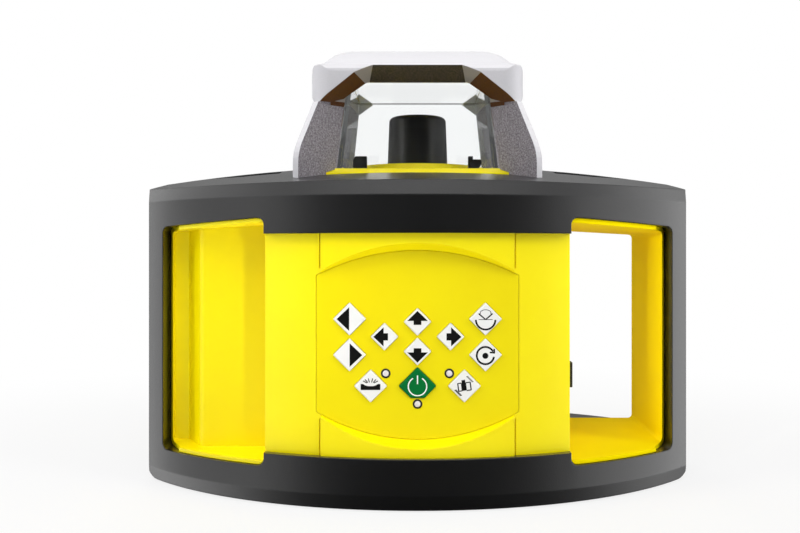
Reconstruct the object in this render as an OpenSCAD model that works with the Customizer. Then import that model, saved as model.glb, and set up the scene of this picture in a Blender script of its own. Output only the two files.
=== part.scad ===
/* [Frame] */
// Width across the two grip bars
frame_w = 255; // [250:1:262]
// Depth from the front middle to the rear middle
frame_d = 174; // [170:1:182]
// Plan radius of the bowed front and rear faces
bow_r = 164; // [160:1:174]
// Height of the upper edge of the bowed faces
frame_h = 136.6; // [134:0.2:144]
// Height of the frame underside above the ground
ground_gap = 0.4; // [0.2:0.1:1]
// Height of the bevel along the upper and lower edges of the bows
edge_rise = 6.3; // [4:0.1:8]
// Setback of that bevel
edge_setback = 2.2; // [1:0.1:4]
// Corner radius of the frame seen from the front
frame_corner = 5.5; // [4:0.5:8]
// Trim of the upright edges at both ends
end_trim = 0.8; // [0.5:0.1:2]
// Rise of the roof slopes per millimetre from the bowed edge to the seam
crown_slope = 0.16; // [0.14:0.005:0.18]
// Radius of the roof seen from the front
roof_r = 840; // [780:10:900]
// Height of the cage seat above the upper edge of the bows
seat_rise = 3.6; // [2.5:0.1:5]
// Thickness of the frame roof over the body
roof_thick = 10.6; // [9:0.2:13]
// Thickness of the frame floor under the body
floor_thick = 9.6; // [8:0.2:11]
// Length of the sighting groove on each wing
groove_len = 41; // [30:1:44]
// Width of the sighting groove
groove_w = 14; // [8:0.5:16]
// Distance of the sighting groove from the seam
groove_off = 2; // [1:0.5:4]
// Distance of the sighting groove from the side of the body
groove_start = 1.7; // [1:0.1:4]

/* [Grip openings] */
// Width of each grip bar
bar_w = 10.5; // [9:0.5:12]
// Height of the sill under each opening
sill_z = 16.3; // [15:0.1:19]
// Height of the lintel beside the bar
lintel_z = 118.5; // [114:0.5:121]
// Extra lintel height beside the body
lintel_rise = 3; // [1:0.5:4]
// Corner radius of each opening
opening_corner = 3; // [2.5:0.5:5]
// Wall of the yellow sleeve in the open grip
liner_wall = 2; // [1.5:0.1:3]
// Front end of the sleeve beside the bar, ahead of the middle plane
liner_front = 24; // [20:1:27]
// Setback of the sleeve behind the bowed face
liner_setback = 1.5; // [1:0.1:3]
// Width of the corner drawn back beside the bar
liner_cut = 9; // [6:0.5:12]
// Rear end of the sleeve, behind the middle plane
liner_rear = 36; // [28:1:37]

/* [Body] */
// Width of the yellow body between the grips
body_w = 130; // [126:1:134]
// Setback of the body pillars behind the frame face
pillar_setback = 4; // [3:0.5:6]
// Step by which the middle of the body stands proud
center_step = 1.2; // [0.5:0.1:2]
// Width of the proud middle section
center_w = 80.8; // [70:0.2:82]
// Wall of the body shells
shell_wall = 3; // [2.5:0.1:4]
// Lower edge of the frame lip above the body
lip_top_z = 114.5; // [112:0.5:118]
// Upper edge of the frame lip below the body
lip_bottom_z = 21.8; // [18:0.2:25]
// Seam between the front and rear halves
seam = 0.2; // [0.1:0.1:0.6]
// Assembly clearance between fixed pieces
fit = 0.15; // [0.1:0.05:0.3]

/* [Keypad] */
// Width of the keypad panel
panel_w = 84.6; // [83:0.2:90]
// Height of the crown of the panel
panel_top = 107.3; // [105:0.1:109]
// Height of the lowest point of the panel
panel_bottom = 28.4; // [27:0.1:31]
// Radius of the arched upper edge
upper_arc = 91; // [86:1:110]
// Radius of the arched lower edge
lower_arc = 83; // [80:1:100]
// Thickness of the panel
panel_thick = 2.5; // [2:0.1:3]
// Width of the bevel round the panel at its middle
panel_bevel = 3; // [1:0.5:4]
// Ledge that carries the panel
panel_ledge = 3; // [2:0.5:4]
// Half diagonal of the function keys
key_size = 6.9; // [6:0.1:7.2]
// Half diagonal of the arrow keys
arrow_size = 5.8; // [5:0.1:5.9]
// Half diagonal of the power key
power_size = 7.8; // [7:0.1:8]
// Distance of the flat at the foot of the power key
power_flat = 4.9; // [4:0.1:6]
// Corner radius of the keys
key_corner = 0.8; // [0.4:0.1:1.2]
// Height of the keys above the panel
key_proud = 1.2; // [1:0.1:2]
// Travel of a key
key_travel = 0.8; // [0.5:0.1:1]
// Gap round each key
key_gap = 0.25; // [0.2:0.05:0.4]
// Distance of the outer key columns from the middle
outer_col = 28.4; // [27.8:0.1:29.5]
// Distance of the lower key columns from the middle
lower_col = 19.6; // [18.5:0.1:21]
// Distance of the side arrow keys from the middle
arrow_col = 13.8; // [13:0.1:14.2]
// Height of the upper outer keys
upper_row = 78.7; // [77:0.1:80]
// Height of the lower outer keys
middle_row = 63.7; // [63:0.1:64.5]
// Height of the lower keys
lower_row = 50.7; // [49:0.1:51.4]
// Height of the side arrow keys
arrow_row = 71.3; // [70.9:0.1:71.7]
// Height of the up and down keys above and below the side arrows
arrow_reach = 6.2; // [6.2:0.1:6.5]
// Radius of the indicator lenses
led_r = 1.9; // [1.5:0.1:2.2]
// Distance of the side indicators from the middle
led_col = 13.3; // [13:0.1:14]
// Height of the side indicators
led_row = 55.9; // [55.4:0.1:56.9]
// Height of the lower indicator
led_low = 43.1; // [42:0.1:43.3]

/* [Battery] */
// Distance of the battery wall ahead of the middle plane
box_front = 40.8; // [38:0.2:42]
// Step beside the raised part of the battery wall
box_step = 16.8; // [14:0.2:17]
// Width of the strip between that step and the bar
box_strip = 9.2; // [7:0.2:12]
// Sideways run of that step
box_slope = 8.6; // [6:0.2:10]
// Wall of the battery box
box_wall = 2; // [1.6:0.1:3]
// Rear end of the battery box
box_rear = 34; // [30:1:36]
// Thickness of the cassette cover
cover_thick = 4; // [3:0.5:5]
// Clearance round the cassette
cassette_gap = 0.6; // [0.4:0.1:1]
// Radius of the lock knob
knob_r = 10; // [8:0.5:12]
// Height of the lock knob above the cover
knob_h = 6; // [4:0.5:8]

/* [Charging socket] */
// Distance of the socket ahead of the middle plane
socket_y = 52; // [46:1:54]
// Height of the socket
socket_z = 53; // [45:1:65]
// Radius of the socket body
socket_r = 4.5; // [4:0.1:5]
// Radius of the plug bore
socket_bore = 2.75; // [2.5:0.05:3]
// Length of the cover flap
flap_len = 14; // [12:0.5:16]
// Height of the cover flap
flap_h = 11; // [11:0.5:13]
// Thickness of the cover flap
flap_thick = 2.6; // [2:0.2:3]

/* [Base] */
// Radius of the base plate
base_r = 54; // [50:1:58]
// Thickness of the base plate
base_thick = 7; // [6:0.5:7.5]
// Radius of the tripod insert
insert_r = 13; // [11:0.5:16]
// Height of the tripod insert
insert_h = 18; // [16:1:20]
// Radius of the tripod thread, five eighths of an inch nominal
thread_r = 7.94; // [7.9:0.01:8]
// Depth of the tripod thread
thread_deep = 15; // [12:1:16]
// Radius of the screw shanks
screw_r = 2; // [1.5:0.1:2.5]
// Radius of the screw heads
screw_head_r = 4; // [3.5:0.1:5]
// Height of the screw heads
screw_head_h = 2.4; // [2:0.1:3]
// Pitch radius of the base screws
base_screw_pcd_r = 37; // [35:0.5:39]

/* [Cage] */
// Half width of the cage at its seat
cage_half = 55.4; // [53:0.2:57]
// Height of the knee of the fins above the seat
knee_h = 11; // [8:0.5:14]
// Radius of the knee
knee_r = 30; // [15:1:40]
// Depth by which the feet are let into the frame
foot_sink = 2.2; // [1.5:0.1:3]
// Half width of the cage at the waist
waist_half = 47.3; // [45:0.1:48]
// Half width of the roof
roof_half = 48.2; // [47.6:0.2:50]
// Corner radius of the roof in plan
roof_corner = 9; // [6:0.5:12]
// Half width of the raised top at its foot
plateau_foot = 43.6; // [42:0.2:44]
// Half width of the raised top at its edge
plateau_half = 36.5; // [34:0.5:38]
// Height of the waist above the seat
waist_h = 34.5; // [33:0.5:36]
// Height of the shoulder above the seat
shoulder_h = 52.1; // [51.6:0.1:54]
// Radius of the shoulder
shoulder_r = 4; // [2:0.5:6]
// Height of the edge of the raised top above the seat
plateau_h = 59.9; // [58:0.1:60.4]
// Height of the crown of the cage above the seat
cage_h = 61.3; // [61:0.1:64]
// Thickness of the corner fins
fin_thick = 3.9; // [3:0.1:5]
// Distance of the inner ends of the fins from the middle, at the seat
fin_foot = 56.2; // [54:0.2:58]
// Distance of the inner ends of the fins from the middle, at their heads
fin_head = 49.3; // [48.6:0.1:51]
// Half width of the inner arch where it springs
arch_foot = 33.6; // [32:0.1:34]
// Height of that spring above the waist
arch_lift = 1.7; // [1:0.1:3]
// Half width of the arch crown at the glass
arch_crown = 22.9; // [20:0.1:26]
// Half width of the arch crown at the front edge
arch_front_crown = 19.9; // [17:0.1:24]
// Half width of the haunches of the arch at the front edge
arch_haunch = 28.5; // [26:0.1:32]
// Height of the haunches above the seat
haunch_h = 47.4; // [45:0.1:49]
// Height of the arch crown at the glass, above the seat
arch_h = 44.2; // [43:0.1:45]
// Half width of the deck
deck_half = 44; // [42.5:0.5:46]
// Height of the deck edge above the seat
deck_edge = 2.6; // [2:0.1:3]
// Height of the deck top above the seat
deck_h = 5.1; // [4.5:0.1:6]
// Radius of the plinth round the rotor
plinth_r = 33; // [31:0.5:33.5]
// Height of the plinth above the seat
plinth_h = 7.9; // [7:0.1:9]
// Half width of the glass at its foot
glass_half = 37.4; // [37:0.1:38]
// Half width of the glass at its head
glass_head = 33; // [32.5:0.1:34]
// Thickness of the glass
glass_thick = 2.5; // [2:0.1:3]
// Distance of the pane clips from the middle, along X
clip_x = 26.7; // [26:0.1:29]
// Distance of the pane clips from the middle, along Y
clip_y = 30.8; // [30:0.1:31]
// Size of the pane clips
clip_size = 6.2; // [5:0.2:6.6]

/* [Mechanism] */
// Depth of the gimbal centre below the seat
gimbal_drop = 16.2; // [15:0.2:18]
// Radius of the opening over the mechanism
mech_r = 41.5; // [40.5:0.5:42]
// Inner radius of the gimbal ring
ring_in = 22.5; // [22:0.5:23.5]
// Outer radius of the gimbal ring
ring_out = 29; // [28:0.5:30]
// Half height of the gimbal ring
ring_half = 5; // [4:0.5:6]
// Radius of the gimbal pivots
pivot_r = 2.5; // [2:0.1:3]
// Running clearance of pivots, rods and the spindle
run_gap = 0.05; // [0.03:0.01:0.08]
// Radius of the spindle
spindle_r = 8; // [7:0.1:8.5]
// Radius of the bore through the spindle
beam_bore = 5; // [4:0.5:5.5]
// Outer radius of the bearings
bearing_r = 14; // [13:0.1:14.5]
// Width of a bearing
bearing_w = 5; // [4:0.5:6]
// Wall of the bearing housing
housing_wall = 4.5; // [3.5:0.5:5]
// Radius of the laser tube
tube_r = 11; // [10.5:0.5:13]
// Radius of the laser module
module_r = 7.8; // [6:0.1:8]
// Length of the laser module
module_len = 42; // [30:1:50]
// Radius of the rotor head at its foot
rotor_r = 15; // [14:0.2:15.6]
// Radius of the rotor head at its top
rotor_top_r = 14; // [13:0.2:14.6]
// Height of the rotor head above the seat
rotor_h = 33.6; // [32:0.2:37]
// Entry width of the prism
prism_w = 9; // [7:0.5:9]
// Height of the laser beam above the seat
beam_h = 17; // [16:0.5:18.5]
// Width of the block at the foot of the laser tube
foot_w = 10; // [8:0.5:12]
// Gap between the block and its yokes
yoke_gap = 0.4; // [0.35:0.05:0.5]
// Half length of the yoke jaws
jaw_len = 16; // [15.5:0.5:18]
// Thickness of the yoke jaws
jaw_thick = 3; // [2:0.5:4]
// Radius of the level motors
motor_r = 10; // [9:0.5:11]
// Length of the level motors
motor_len = 24; // [20:1:26]
// Radius of the push rods
rod_r = 2; // [1.5:0.1:2.5]

/* [Hidden] */
$fn = 128;

// Overlap that keeps cuts clean
eps = 0.5;
// Length that reaches past every face
far = 400;
// Finishes
black = "#2b2b2b";
yellow = "#ffe60a";
alloy = "#c9cacc";
steel = "#8f9398";
brass = "#b8963c";
board_green = "#1f5a3a";
green = "#0a8a46";
white = "#f4f4f2";
clear_glass = [0.75, 0.9, 0.85, 0.35];

// Frame
bow_y = bow_r - frame_d / 2;
edge_y = bow_r - edge_setback - bow_y;
ridge_rise = crown_slope * edge_y;
end_shoulder = 12;
end_rise = 1;
end_y = sqrt(pow(bow_r, 2) - pow(frame_w / 2, 2)) - bow_y;
end_reach = norm([frame_w / 2, end_y]) - end_trim;
bar_x = frame_w / 2 - bar_w;
seat_z = frame_h + seat_rise;
seat_margin = 2;
seat_half = deck_half + seat_margin;
body_top = frame_h - roof_thick;
body_bottom = ground_gap + floor_thick;
half_body = body_w / 2;
pillar_r = bow_r - pillar_setback;
center_r = pillar_r + center_step;
groove_x = half_body + groove_start;
groove_floor = ridge_z(groove_x + groove_len);
frame_screw_off = 9;
frame_screw_sunk = 4;
frame_screw_x = (half_body + bar_x) / 2 + frame_screw_off;
frame_screw_rows = [(ground_gap + sill_z) / 2, (lintel_z + frame_h) / 2 + 1];
frame_screw_y = sqrt(pow(bow_r, 2) - pow(frame_screw_x, 2)) - bow_y - frame_screw_sunk;
frame_screw_grip = 15;

// Keypad
panel_y = sqrt(pow(pillar_r, 2) - pow(panel_w / 2, 2)) - bow_y;
recess_deep = center_r - bow_y - panel_y;
slot_w = 0.7;
slot_deep = 1;
slot_rows = [
    [body_bottom, panel_bottom + lower_arc - sqrt(pow(lower_arc, 2) - pow(panel_w / 2, 2)) - panel_bevel],
    [panel_top - upper_arc + sqrt(pow(upper_arc, 2) - pow(panel_w / 2, 2)) + panel_bevel, body_top]
];
panel_back = panel_y - panel_thick;
key_flange = 1;
key_flange_gap = 0.1;
key_flange_wide = 1;
key_nub = 1;
key_nub_r = 1.6;
board_thick = 1.6;
key_reserve = 0.2;
board_y = panel_back - key_flange_gap - key_flange - key_nub - key_travel - key_reserve;
board_post_r = 2;
board_post_x = 33;
board_post_rows = [51, 88];
pad_margin = 5;
pad_thick = 2.5;
// Column and row of each key
function_keys = [
    [-outer_col, upper_row], [-outer_col, middle_row], [outer_col, upper_row],
    [outer_col, middle_row], [-lower_col, lower_row], [lower_col, lower_row]
];
arrow_keys = [
    [0, arrow_row + arrow_reach], [0, arrow_row - arrow_reach],
    [-arrow_col, arrow_row], [arrow_col, arrow_row]
];
power_key = [0, lower_row];
leds = [[-led_col, led_row], [led_col, led_row], [0, led_low]];

// Main board
board_boss = 4;
board_margin = 4;
board_wall = shell_wall - half_body;
shell_reach = sqrt(pow(pillar_r - shell_wall, 2) - pow(half_body, 2)) - bow_y;
main_board_y = [3 * board_margin, shell_reach - 2 * board_margin];
main_board_z = [44, 106];

// Battery cassette
box_mid_x = -(half_body + bar_x) / 2;
box_mid_z = (sill_z + lintel_z) / 2;
knob_shaft_r = 3;
pack_front = box_step - box_front + box_wall + cassette_gap;
cell_r = 13;
cell_len = 46;
cell_gap = 0.6;
cell_pitch = 2 * cell_r + cell_gap;
tray_gap = 0.4;
tray_half = cell_pitch / 2 + cell_r + tray_gap;
cell_margin = 7;
cell_x = half_body + cell_r + cell_margin;
cell_y = (pack_front + box_rear) / 2;
cell_z = box_mid_z - cell_len;

// Base and chassis
plate_r = 44;
plate_thick = 3;
chassis_floor = body_bottom + plate_thick;
ledge_r = 30;
screw_slack = 0.2;

// Mechanism heights
gimbal_z = seat_z - gimbal_drop;
barrel_rise = 8;
barrel_top = gimbal_z + ring_half + barrel_rise;
bearing_lip = 1;
bearing_high = barrel_top - bearing_lip - bearing_w;
bearing_drop = 3;
bearing_low = gimbal_z - ring_half - bearing_drop - bearing_w;
housing_skirt = 3;
housing_low = bearing_low - housing_skirt;
spindle_rise = 0.5;
spindle_low = bearing_low + spindle_rise;
housing_r = bearing_r + housing_wall;
tube_clear = 26;
tube_low = body_bottom + tube_clear;
foot_clear = 14;
foot_low = body_bottom + foot_clear;
yoke_thick = 3;
yoke_lift = 2.5;
yoke_x_z = foot_low + yoke_lift;
yoke_pitch = 5;
yoke_y_z = yoke_x_z + yoke_pitch;
upright_in = 34;
upright_out = 38;
upright_foot = 16;
upright_head = 7;
bracket_y = 36;
bracket_thick = 4;
motor_start = 31;
rod_inset = 3;
rod_end = motor_start + motor_len - rod_inset;
bracket_rim = 3;
bracket_top = yoke_y_z + motor_r + bracket_rim;
flange_r = 12;
flange_h = 3;
flange_gap = 2;
flange_z = barrel_top + flange_gap;
disc_thick = 0.8;
disc_r = 16;
rotor_foot_z = flange_z + flange_h;
skirt_h = 6.8;
rotor_skirt_z = seat_z + skirt_h;
rotor_top_z = seat_z + rotor_h;
rotor_round = 2.4;
deck_gap = 4;
deck_hole = rotor_r + deck_gap;
plinth_flare = 1.2;
beam_z = seat_z + beam_h;
pocket_ratio = 0.92;
window_r = 4;
window_thick = 1.4;
window_y = 9.8;
lens_r = 6;
lens_thick = 3;
magnet_r = 10.2;
air_gap = 0.6;

// Cage
waist_lip = 3;
clip_rise = 0.95;
clip_hook = 0.75;
plateau_r = 16;
crown_half = 18;
foot_margin = 1;
foot_in = deck_half * sqrt(2) + foot_margin;
foot_out = cage_half * sqrt(2) - fin_thick / 2;
fin_side = fin_thick / sqrt(2);
arch_in = arch_foot + fin_side;
glass_low = seat_z + deck_h;
glass_hold = 1;
glass_high = seat_z + arch_h + glass_hold;
glass_gap = 0.3;
glass_ledge = 1;
arch_margin = 0.8;
arch_edge = roof_half - fin_side - arch_margin;

// Direction of a vector, as a vector of length one
function unit(v) = v / norm(v);

// Points of the arc of radius r that replaces corner b between a and c
function corner_arc(a, b, c, r, steps) =
    let (u = unit(a - b), w = unit(c - b))
    let (half = acos(u * w) / 2, sweep = 180 - 2 * half)
    let (centre = b + unit(u + w) * r / sin(half))
    let (p = b + u * r / tan(half) - centre, q = b + w * r / tan(half) - centre)
    [for (i = [0 : steps]) let (k = i / steps)
        centre + (sin((1 - k) * sweep) * p + sin(k * sweep) * q) / sin(sweep)];

// Outline with every corner rounded to radius r
function rounded(points, r, steps = 5) =
    let (n = len(points))
    [for (i = [0 : n - 1])
        each corner_arc(points[(i + n - 1) % n], points[i], points[(i + 1) % n], r, steps)];

// Right half of an outline followed by its mirror image
function mirrored(points) =
    let (n = len(points))
    concat(points, [for (i = [1 : n]) [-points[n - i].x, points[n - i].y]]);

// Height of the frame ridge at distance x from the middle
function ridge_z(x) = frame_h + ridge_rise - roof_r + sqrt(pow(roof_r, 2) - pow(x, 2));

// Right half of the cage seen from the front, measured from the seat
function cage_side() = concat(
    [[cage_half, 0]],
    corner_arc([cage_half, 0], [cage_half, knee_h], [waist_half, waist_h], knee_r, 4),
    [[waist_half, waist_h], [roof_half, waist_h + waist_lip]],
    corner_arc([roof_half, waist_h], [roof_half, shoulder_h], [plateau_foot, shoulder_h], shoulder_r, 5),
    [[plateau_foot, shoulder_h]],
    corner_arc([plateau_foot, shoulder_h], [plateau_half, plateau_h], [crown_half, cage_h], plateau_r, 4),
    [[crown_half, cage_h]]
);

// Grip opening on the +X side, drawn in by d
function grip_points(d) = [
    [half_body + d, sill_z + d], [bar_x - d, sill_z + d],
    [bar_x - d, lintel_z - d], [half_body + d, lintel_z + lintel_rise - d]
];

// Solid between two depths from an outline in X and Z
module along_y(from, to) {
    translate([0, to, 0])
        rotate([90, 0, 0])
            linear_extrude(to - from) children();
}

// Solid between two widths from an outline in Y and Z
module along_x(from, to) {
    translate([from, 0, 0])
        rotate([90, 0, 90])
            linear_extrude(to - from) children();
}

// Round bar along X
module bar_x_axis(from, to, r) {
    translate([from, 0, 0])
        rotate([0, 90, 0])
            cylinder(h = to - from, r = r);
}

// Round bar along Y
module bar_y_axis(from, to, r) {
    translate([0, from, 0])
        rotate([-90, 0, 0])
            cylinder(h = to - from, r = r);
}

// Ring about the Z axis between two heights
module ring(low, high, inner, outer) {
    translate([0, 0, low])
        difference() {
            cylinder(h = high - low, r = outer);
            translate([0, 0, -eps]) cylinder(h = high - low + 2 * eps, r = inner);
        }
}

// Everything ahead of the seam
module front_half() {
    intersection() {
        children();
        translate([-far / 2, -far - seam / 2, -far / 2]) cube(far);
    }
}

// Shared space of two revolved bows
module two_bows() {
    intersection() {
        translate([0, bow_y, 0]) rotate_extrude() children();
        translate([0, -bow_y, 0]) rotate_extrude() children();
    }
}

// Frame
module grip_outline(d) {
    polygon(rounded(grip_points(d), max(opening_corner - d, 0.6)));
}

module body_outline(grow) {
    for (row = [[body_w, pillar_r], [center_w, center_r]]) {
        intersection() {
            translate([0, bow_y]) circle(row[1] + grow);
            translate([0, -bow_y]) circle(row[1] + grow);
            square([row[0] + 2 * grow, far], center = true);
        }
    }
}

module frame_block() {
    tilt = atan(crown_slope);
    above = 3;
    end_profile = mirrored([
        [frame_w / 2, ground_gap], [frame_w / 2, frame_h + end_rise],
        [frame_w / 2 - end_shoulder, frame_h + ridge_rise]
    ]);
    intersection() {
        two_bows() polygon([
            [0, ground_gap], [bow_r - edge_setback, ground_gap], [bow_r, ground_gap + edge_rise],
            [bow_r, frame_h - edge_rise],
            [bow_r - (above + 1) * edge_setback, frame_h + above * edge_rise],
            [0, frame_h + above * edge_rise]
        ]);
        along_y(-frame_d, frame_d) polygon(rounded(end_profile, frame_corner));
        cylinder(h = far, r = end_reach);
        translate([0, roof_r * sin(tilt) - edge_y, frame_h - roof_r * cos(tilt)])
            rotate([tilt - 90, 0, 0])
                cylinder(h = 2 * far, r = roof_r, center = true);
    }
}

module frame_cuts() {
    for (side = [0, 1]) {
        mirror([side, 0, 0]) {
            along_y(-far / 2, far / 2) grip_outline(0);
            translate([groove_x, -groove_off - groove_w, groove_floor])
                cube([groove_len, groove_w, far]);
        }
    }
    along_y(-far / 2, far / 2)
        translate([-half_body, lip_bottom_z]) square([body_w, lip_top_z - lip_bottom_z]);
    translate([0, 0, body_bottom - fit])
        linear_extrude(body_top - body_bottom + 2 * fit) body_outline(fit);
    translate([0, 0, body_top]) cylinder(h = far, r = mech_r);
    translate([-seat_half, -seat_half, seat_z]) cube([2 * seat_half, 2 * seat_half, far]);
    cage_feet(fit, far);
    translate([0, 0, -eps]) cylinder(h = base_thick + eps + fit, r = base_r + fit);
    cylinder(h = body_bottom, r = ledge_r);
    base_screw_places() cylinder(h = body_bottom, r = screw_r + screw_slack);
}

module frame_half() {
    front_half() {
        difference() {
            frame_block();
            frame_cuts();
        }
    }
}

module base_screw_places() {
    for (a = [45 : 90 : 315])
        rotate(a) translate([base_screw_pcd_r, 0, 0]) children();
}

module frame_screw_places() {
    for (side = [-1, 1], z = frame_screw_rows)
        translate([side * frame_screw_x, 0, z]) children();
}

module front_frame() {
    color(black)
        difference() {
            frame_half();
            frame_screw_places()
                bar_y_axis(-frame_screw_grip - eps, eps, screw_r + screw_slack);
        }
}

module rear_frame() {
    color(black)
        difference() {
            mirror([0, 1, 0]) frame_half();
            frame_screw_places() {
                bar_y_axis(-eps, far / 2, screw_r + screw_slack);
                bar_y_axis(frame_screw_y - screw_head_h, far / 2, screw_head_r + screw_slack);
            }
        }
}

module frame_screws() {
    color(steel)
        frame_screw_places() {
            bar_y_axis(-frame_screw_grip, frame_screw_y, screw_r);
            bar_y_axis(frame_screw_y - screw_head_h, frame_screw_y, screw_head_r);
        }
}

// Body
module shell_half() {
    front_half() {
        difference() {
            translate([0, 0, body_bottom])
                linear_extrude(body_top - body_bottom) body_outline(0);
            translate([0, 0, body_bottom + shell_wall])
                linear_extrude(body_top - body_bottom - 2 * shell_wall) body_outline(-shell_wall);
            translate([0, 0, body_top - shell_wall - eps])
                cylinder(h = far, r = mech_r);
            translate([0, 0, body_bottom - eps])
                cylinder(h = shell_wall + 2 * eps, r = plate_r + fit);
        }
    }
}

// Barrel outline of the keypad panel, drawn in by d
module panel_outline(d) {
    intersection() {
        translate([0, panel_top - upper_arc]) circle(upper_arc - d);
        translate([0, panel_bottom + lower_arc]) circle(lower_arc - d);
        translate([-panel_w / 2 + d, 0]) square([panel_w - 2 * d, far]);
    }
}

// Cut with bevelled arched edges ahead of the panel
module panel_bevels() {
    run = 2 * recess_deep;
    intersection() {
        translate([0, -panel_y, panel_top - upper_arc])
            rotate([90, 0, 0])
                cylinder(h = run, r1 = upper_arc, r2 = upper_arc + 2 * panel_bevel);
        translate([0, -panel_y, panel_bottom + lower_arc])
            rotate([90, 0, 0])
                cylinder(h = run, r1 = lower_arc, r2 = lower_arc + 2 * panel_bevel);
        along_y(-far / 2, 0) translate([-panel_w / 2, 0]) square([panel_w, far]);
    }
}

// Shadow slots beside the proud middle, above and below the panel
module middle_slots() {
    for (sx = [-1, 1], row = slot_rows)
        translate([sx * (center_w + slot_w) / 2 - slot_w / 2, -far / 2, row[0]])
            cube([slot_w, far / 2 - panel_y + slot_deep, row[1] - row[0]]);
}

module front_shell() {
    color(yellow)
        difference() {
            union() {
                shell_half();
                intersection() {
                    along_y(-panel_back, -panel_back + pad_thick) panel_outline(-pad_margin);
                    translate([0, 0, body_bottom])
                        linear_extrude(body_top - body_bottom) body_outline(0);
                }
                intersection() {
                    along_y(-far / 2, -panel_back + eps)
                        difference() {
                            panel_outline(-pad_margin);
                            panel_outline(panel_ledge);
                        }
                    translate([0, 0, body_bottom])
                        linear_extrude(body_top - body_bottom) body_outline(0);
                }
            }
            panel_bevels();
            middle_slots();
            along_y(-far / 2, -panel_back) panel_outline(-fit);
            along_y(-far / 2, 0) panel_outline(panel_ledge);
            translate([0, -socket_y, socket_z]) bar_x_axis(0, far, socket_r + fit);
        }
}

module rear_shell() {
    color(yellow)
        mirror([0, 1, 0]) {
            shell_half();
            main_board_places()
                bar_x_axis(board_wall - eps, board_wall + board_boss, board_post_r);
        }
}

// Places of the main board bosses, given as if on the front half
module main_board_places() {
    for (y = main_board_y, z = main_board_z)
        translate([0, -y, z]) children();
}

module main_board() {
    x0 = board_wall + board_boss;
    y0 = main_board_y[0] - board_margin;
    z0 = main_board_z[0] - board_margin;
    wide = main_board_y[1] + board_margin - y0;
    tall = main_board_z[1] + board_margin - z0;
    chip = [2, 14, 14];
    plug = [6, 20, 8];
    color(board_green) {
        translate([x0, y0, z0]) cube([board_thick, wide, tall]);
        translate([x0 + board_thick, y0 + wide / 4, z0 + tall / 2]) cube(chip);
        translate([x0 + board_thick, y0 + wide / 3, z0 + board_margin]) cube(plug);
        translate([x0 + board_thick, y0 + wide / 3, z0 + tall - 3 * board_margin]) cube(plug);
    }
}

// Sleeve along the floor, bar and ceiling of the +X grip, ending at depth to
module sleeve(to) {
    intersection() {
        along_y(-far / 2, to)
            difference() {
                grip_outline(fit);
                polygon(rounded([
                    [half_body - opening_corner, sill_z + liner_wall],
                    [bar_x - liner_wall, sill_z + liner_wall],
                    [bar_x - liner_wall, lintel_z - liner_wall],
                    [half_body - opening_corner, lintel_z + lintel_rise - liner_wall]
                ], opening_corner - 1));
            }
        linear_extrude(far)
            difference() {
                translate([0, bow_y]) circle(bow_r - liner_setback);
                polygon([
                    [bar_x, -liner_front], [bar_x - liner_cut, -liner_front - 2 * liner_cut],
                    [bar_x - liner_cut, -far], [far, -far], [far, -liner_front]
                ]);
            }
    }
}

module grip_liner() {
    color(yellow) sleeve(liner_rear);
}

// Battery box and cassette
module battery_box() {
    raised = [-half_body, -box_front];
    step_foot = [box_strip - bar_x, box_step - box_front];
    step_top = [step_foot.x + box_slope, -box_front];
    color(yellow) {
        mirror([1, 0, 0]) sleeve(step_foot.y + eps);
        difference() {
            intersection() {
                mirror([1, 0, 0]) along_y(-far / 2, box_rear) grip_outline(fit);
                linear_extrude(far) polygon(concat(
                    [[0, box_rear], [0, -box_front], raised],
                    corner_arc(raised, step_top, step_foot, box_step / 4, 6),
                    corner_arc(step_top, step_foot, [-bar_x, step_foot.y], box_step / 12, 4),
                    [[-bar_x, step_foot.y], [-bar_x, box_rear]]
                ));
            }
            mirror([1, 0, 0])
                along_y(step_foot.y + box_wall, far / 2) grip_outline(fit + box_wall);
            intersection() {
                mirror([1, 0, 0])
                    along_y(box_wall - box_front, far / 2) grip_outline(fit + box_wall);
                translate([step_top.x + box_wall, -far / 2, 0]) cube(far);
            }
        }
    }
}

// Tray of the cassette, open on its outer side
module battery_pack() {
    inset = fit + box_wall + cassette_gap;
    color(black)
        mirror([1, 0, 0])
            difference() {
                along_y(pack_front, box_rear + cassette_gap) grip_outline(inset);
                translate([cell_x - cell_r - tray_gap, cell_y - tray_half, cell_z])
                    cube([far, 2 * tray_half, 2 * cell_len + tray_gap]);
            }
}

module battery_cells() {
    pole_r = 4;
    pole_h = 1.5;
    color(green)
        mirror([1, 0, 0])
            for (side = [-1, 1], k = [0, 1])
                translate([cell_x, cell_y + side * cell_pitch / 2, cell_z + k * cell_len]) {
                    cylinder(h = cell_len - pole_h, r = cell_r);
                    cylinder(h = cell_len, r = pole_r);
                }
}

module battery_cover() {
    start = box_rear + cassette_gap;
    rib_w = 2.4;
    rib_h = 1.2;
    rib_len = 26;
    rib_pitch = 5;
    color(yellow)
        difference() {
            union() {
                mirror([1, 0, 0]) along_y(start, start + cover_thick) grip_outline(cassette_gap);
                for (end = [-1, 1], k = [0 : 3])
                    translate([box_mid_x - rib_len / 2, start + cover_thick - eps,
                               box_mid_z + end * (knob_r + 10 + k * rib_pitch) - rib_w / 2])
                        cube([rib_len, rib_h + eps, rib_w]);
            }
            translate([box_mid_x, 0, box_mid_z])
                bar_y_axis(start + 1, far / 2, knob_shaft_r + run_gap);
        }
}

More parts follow.
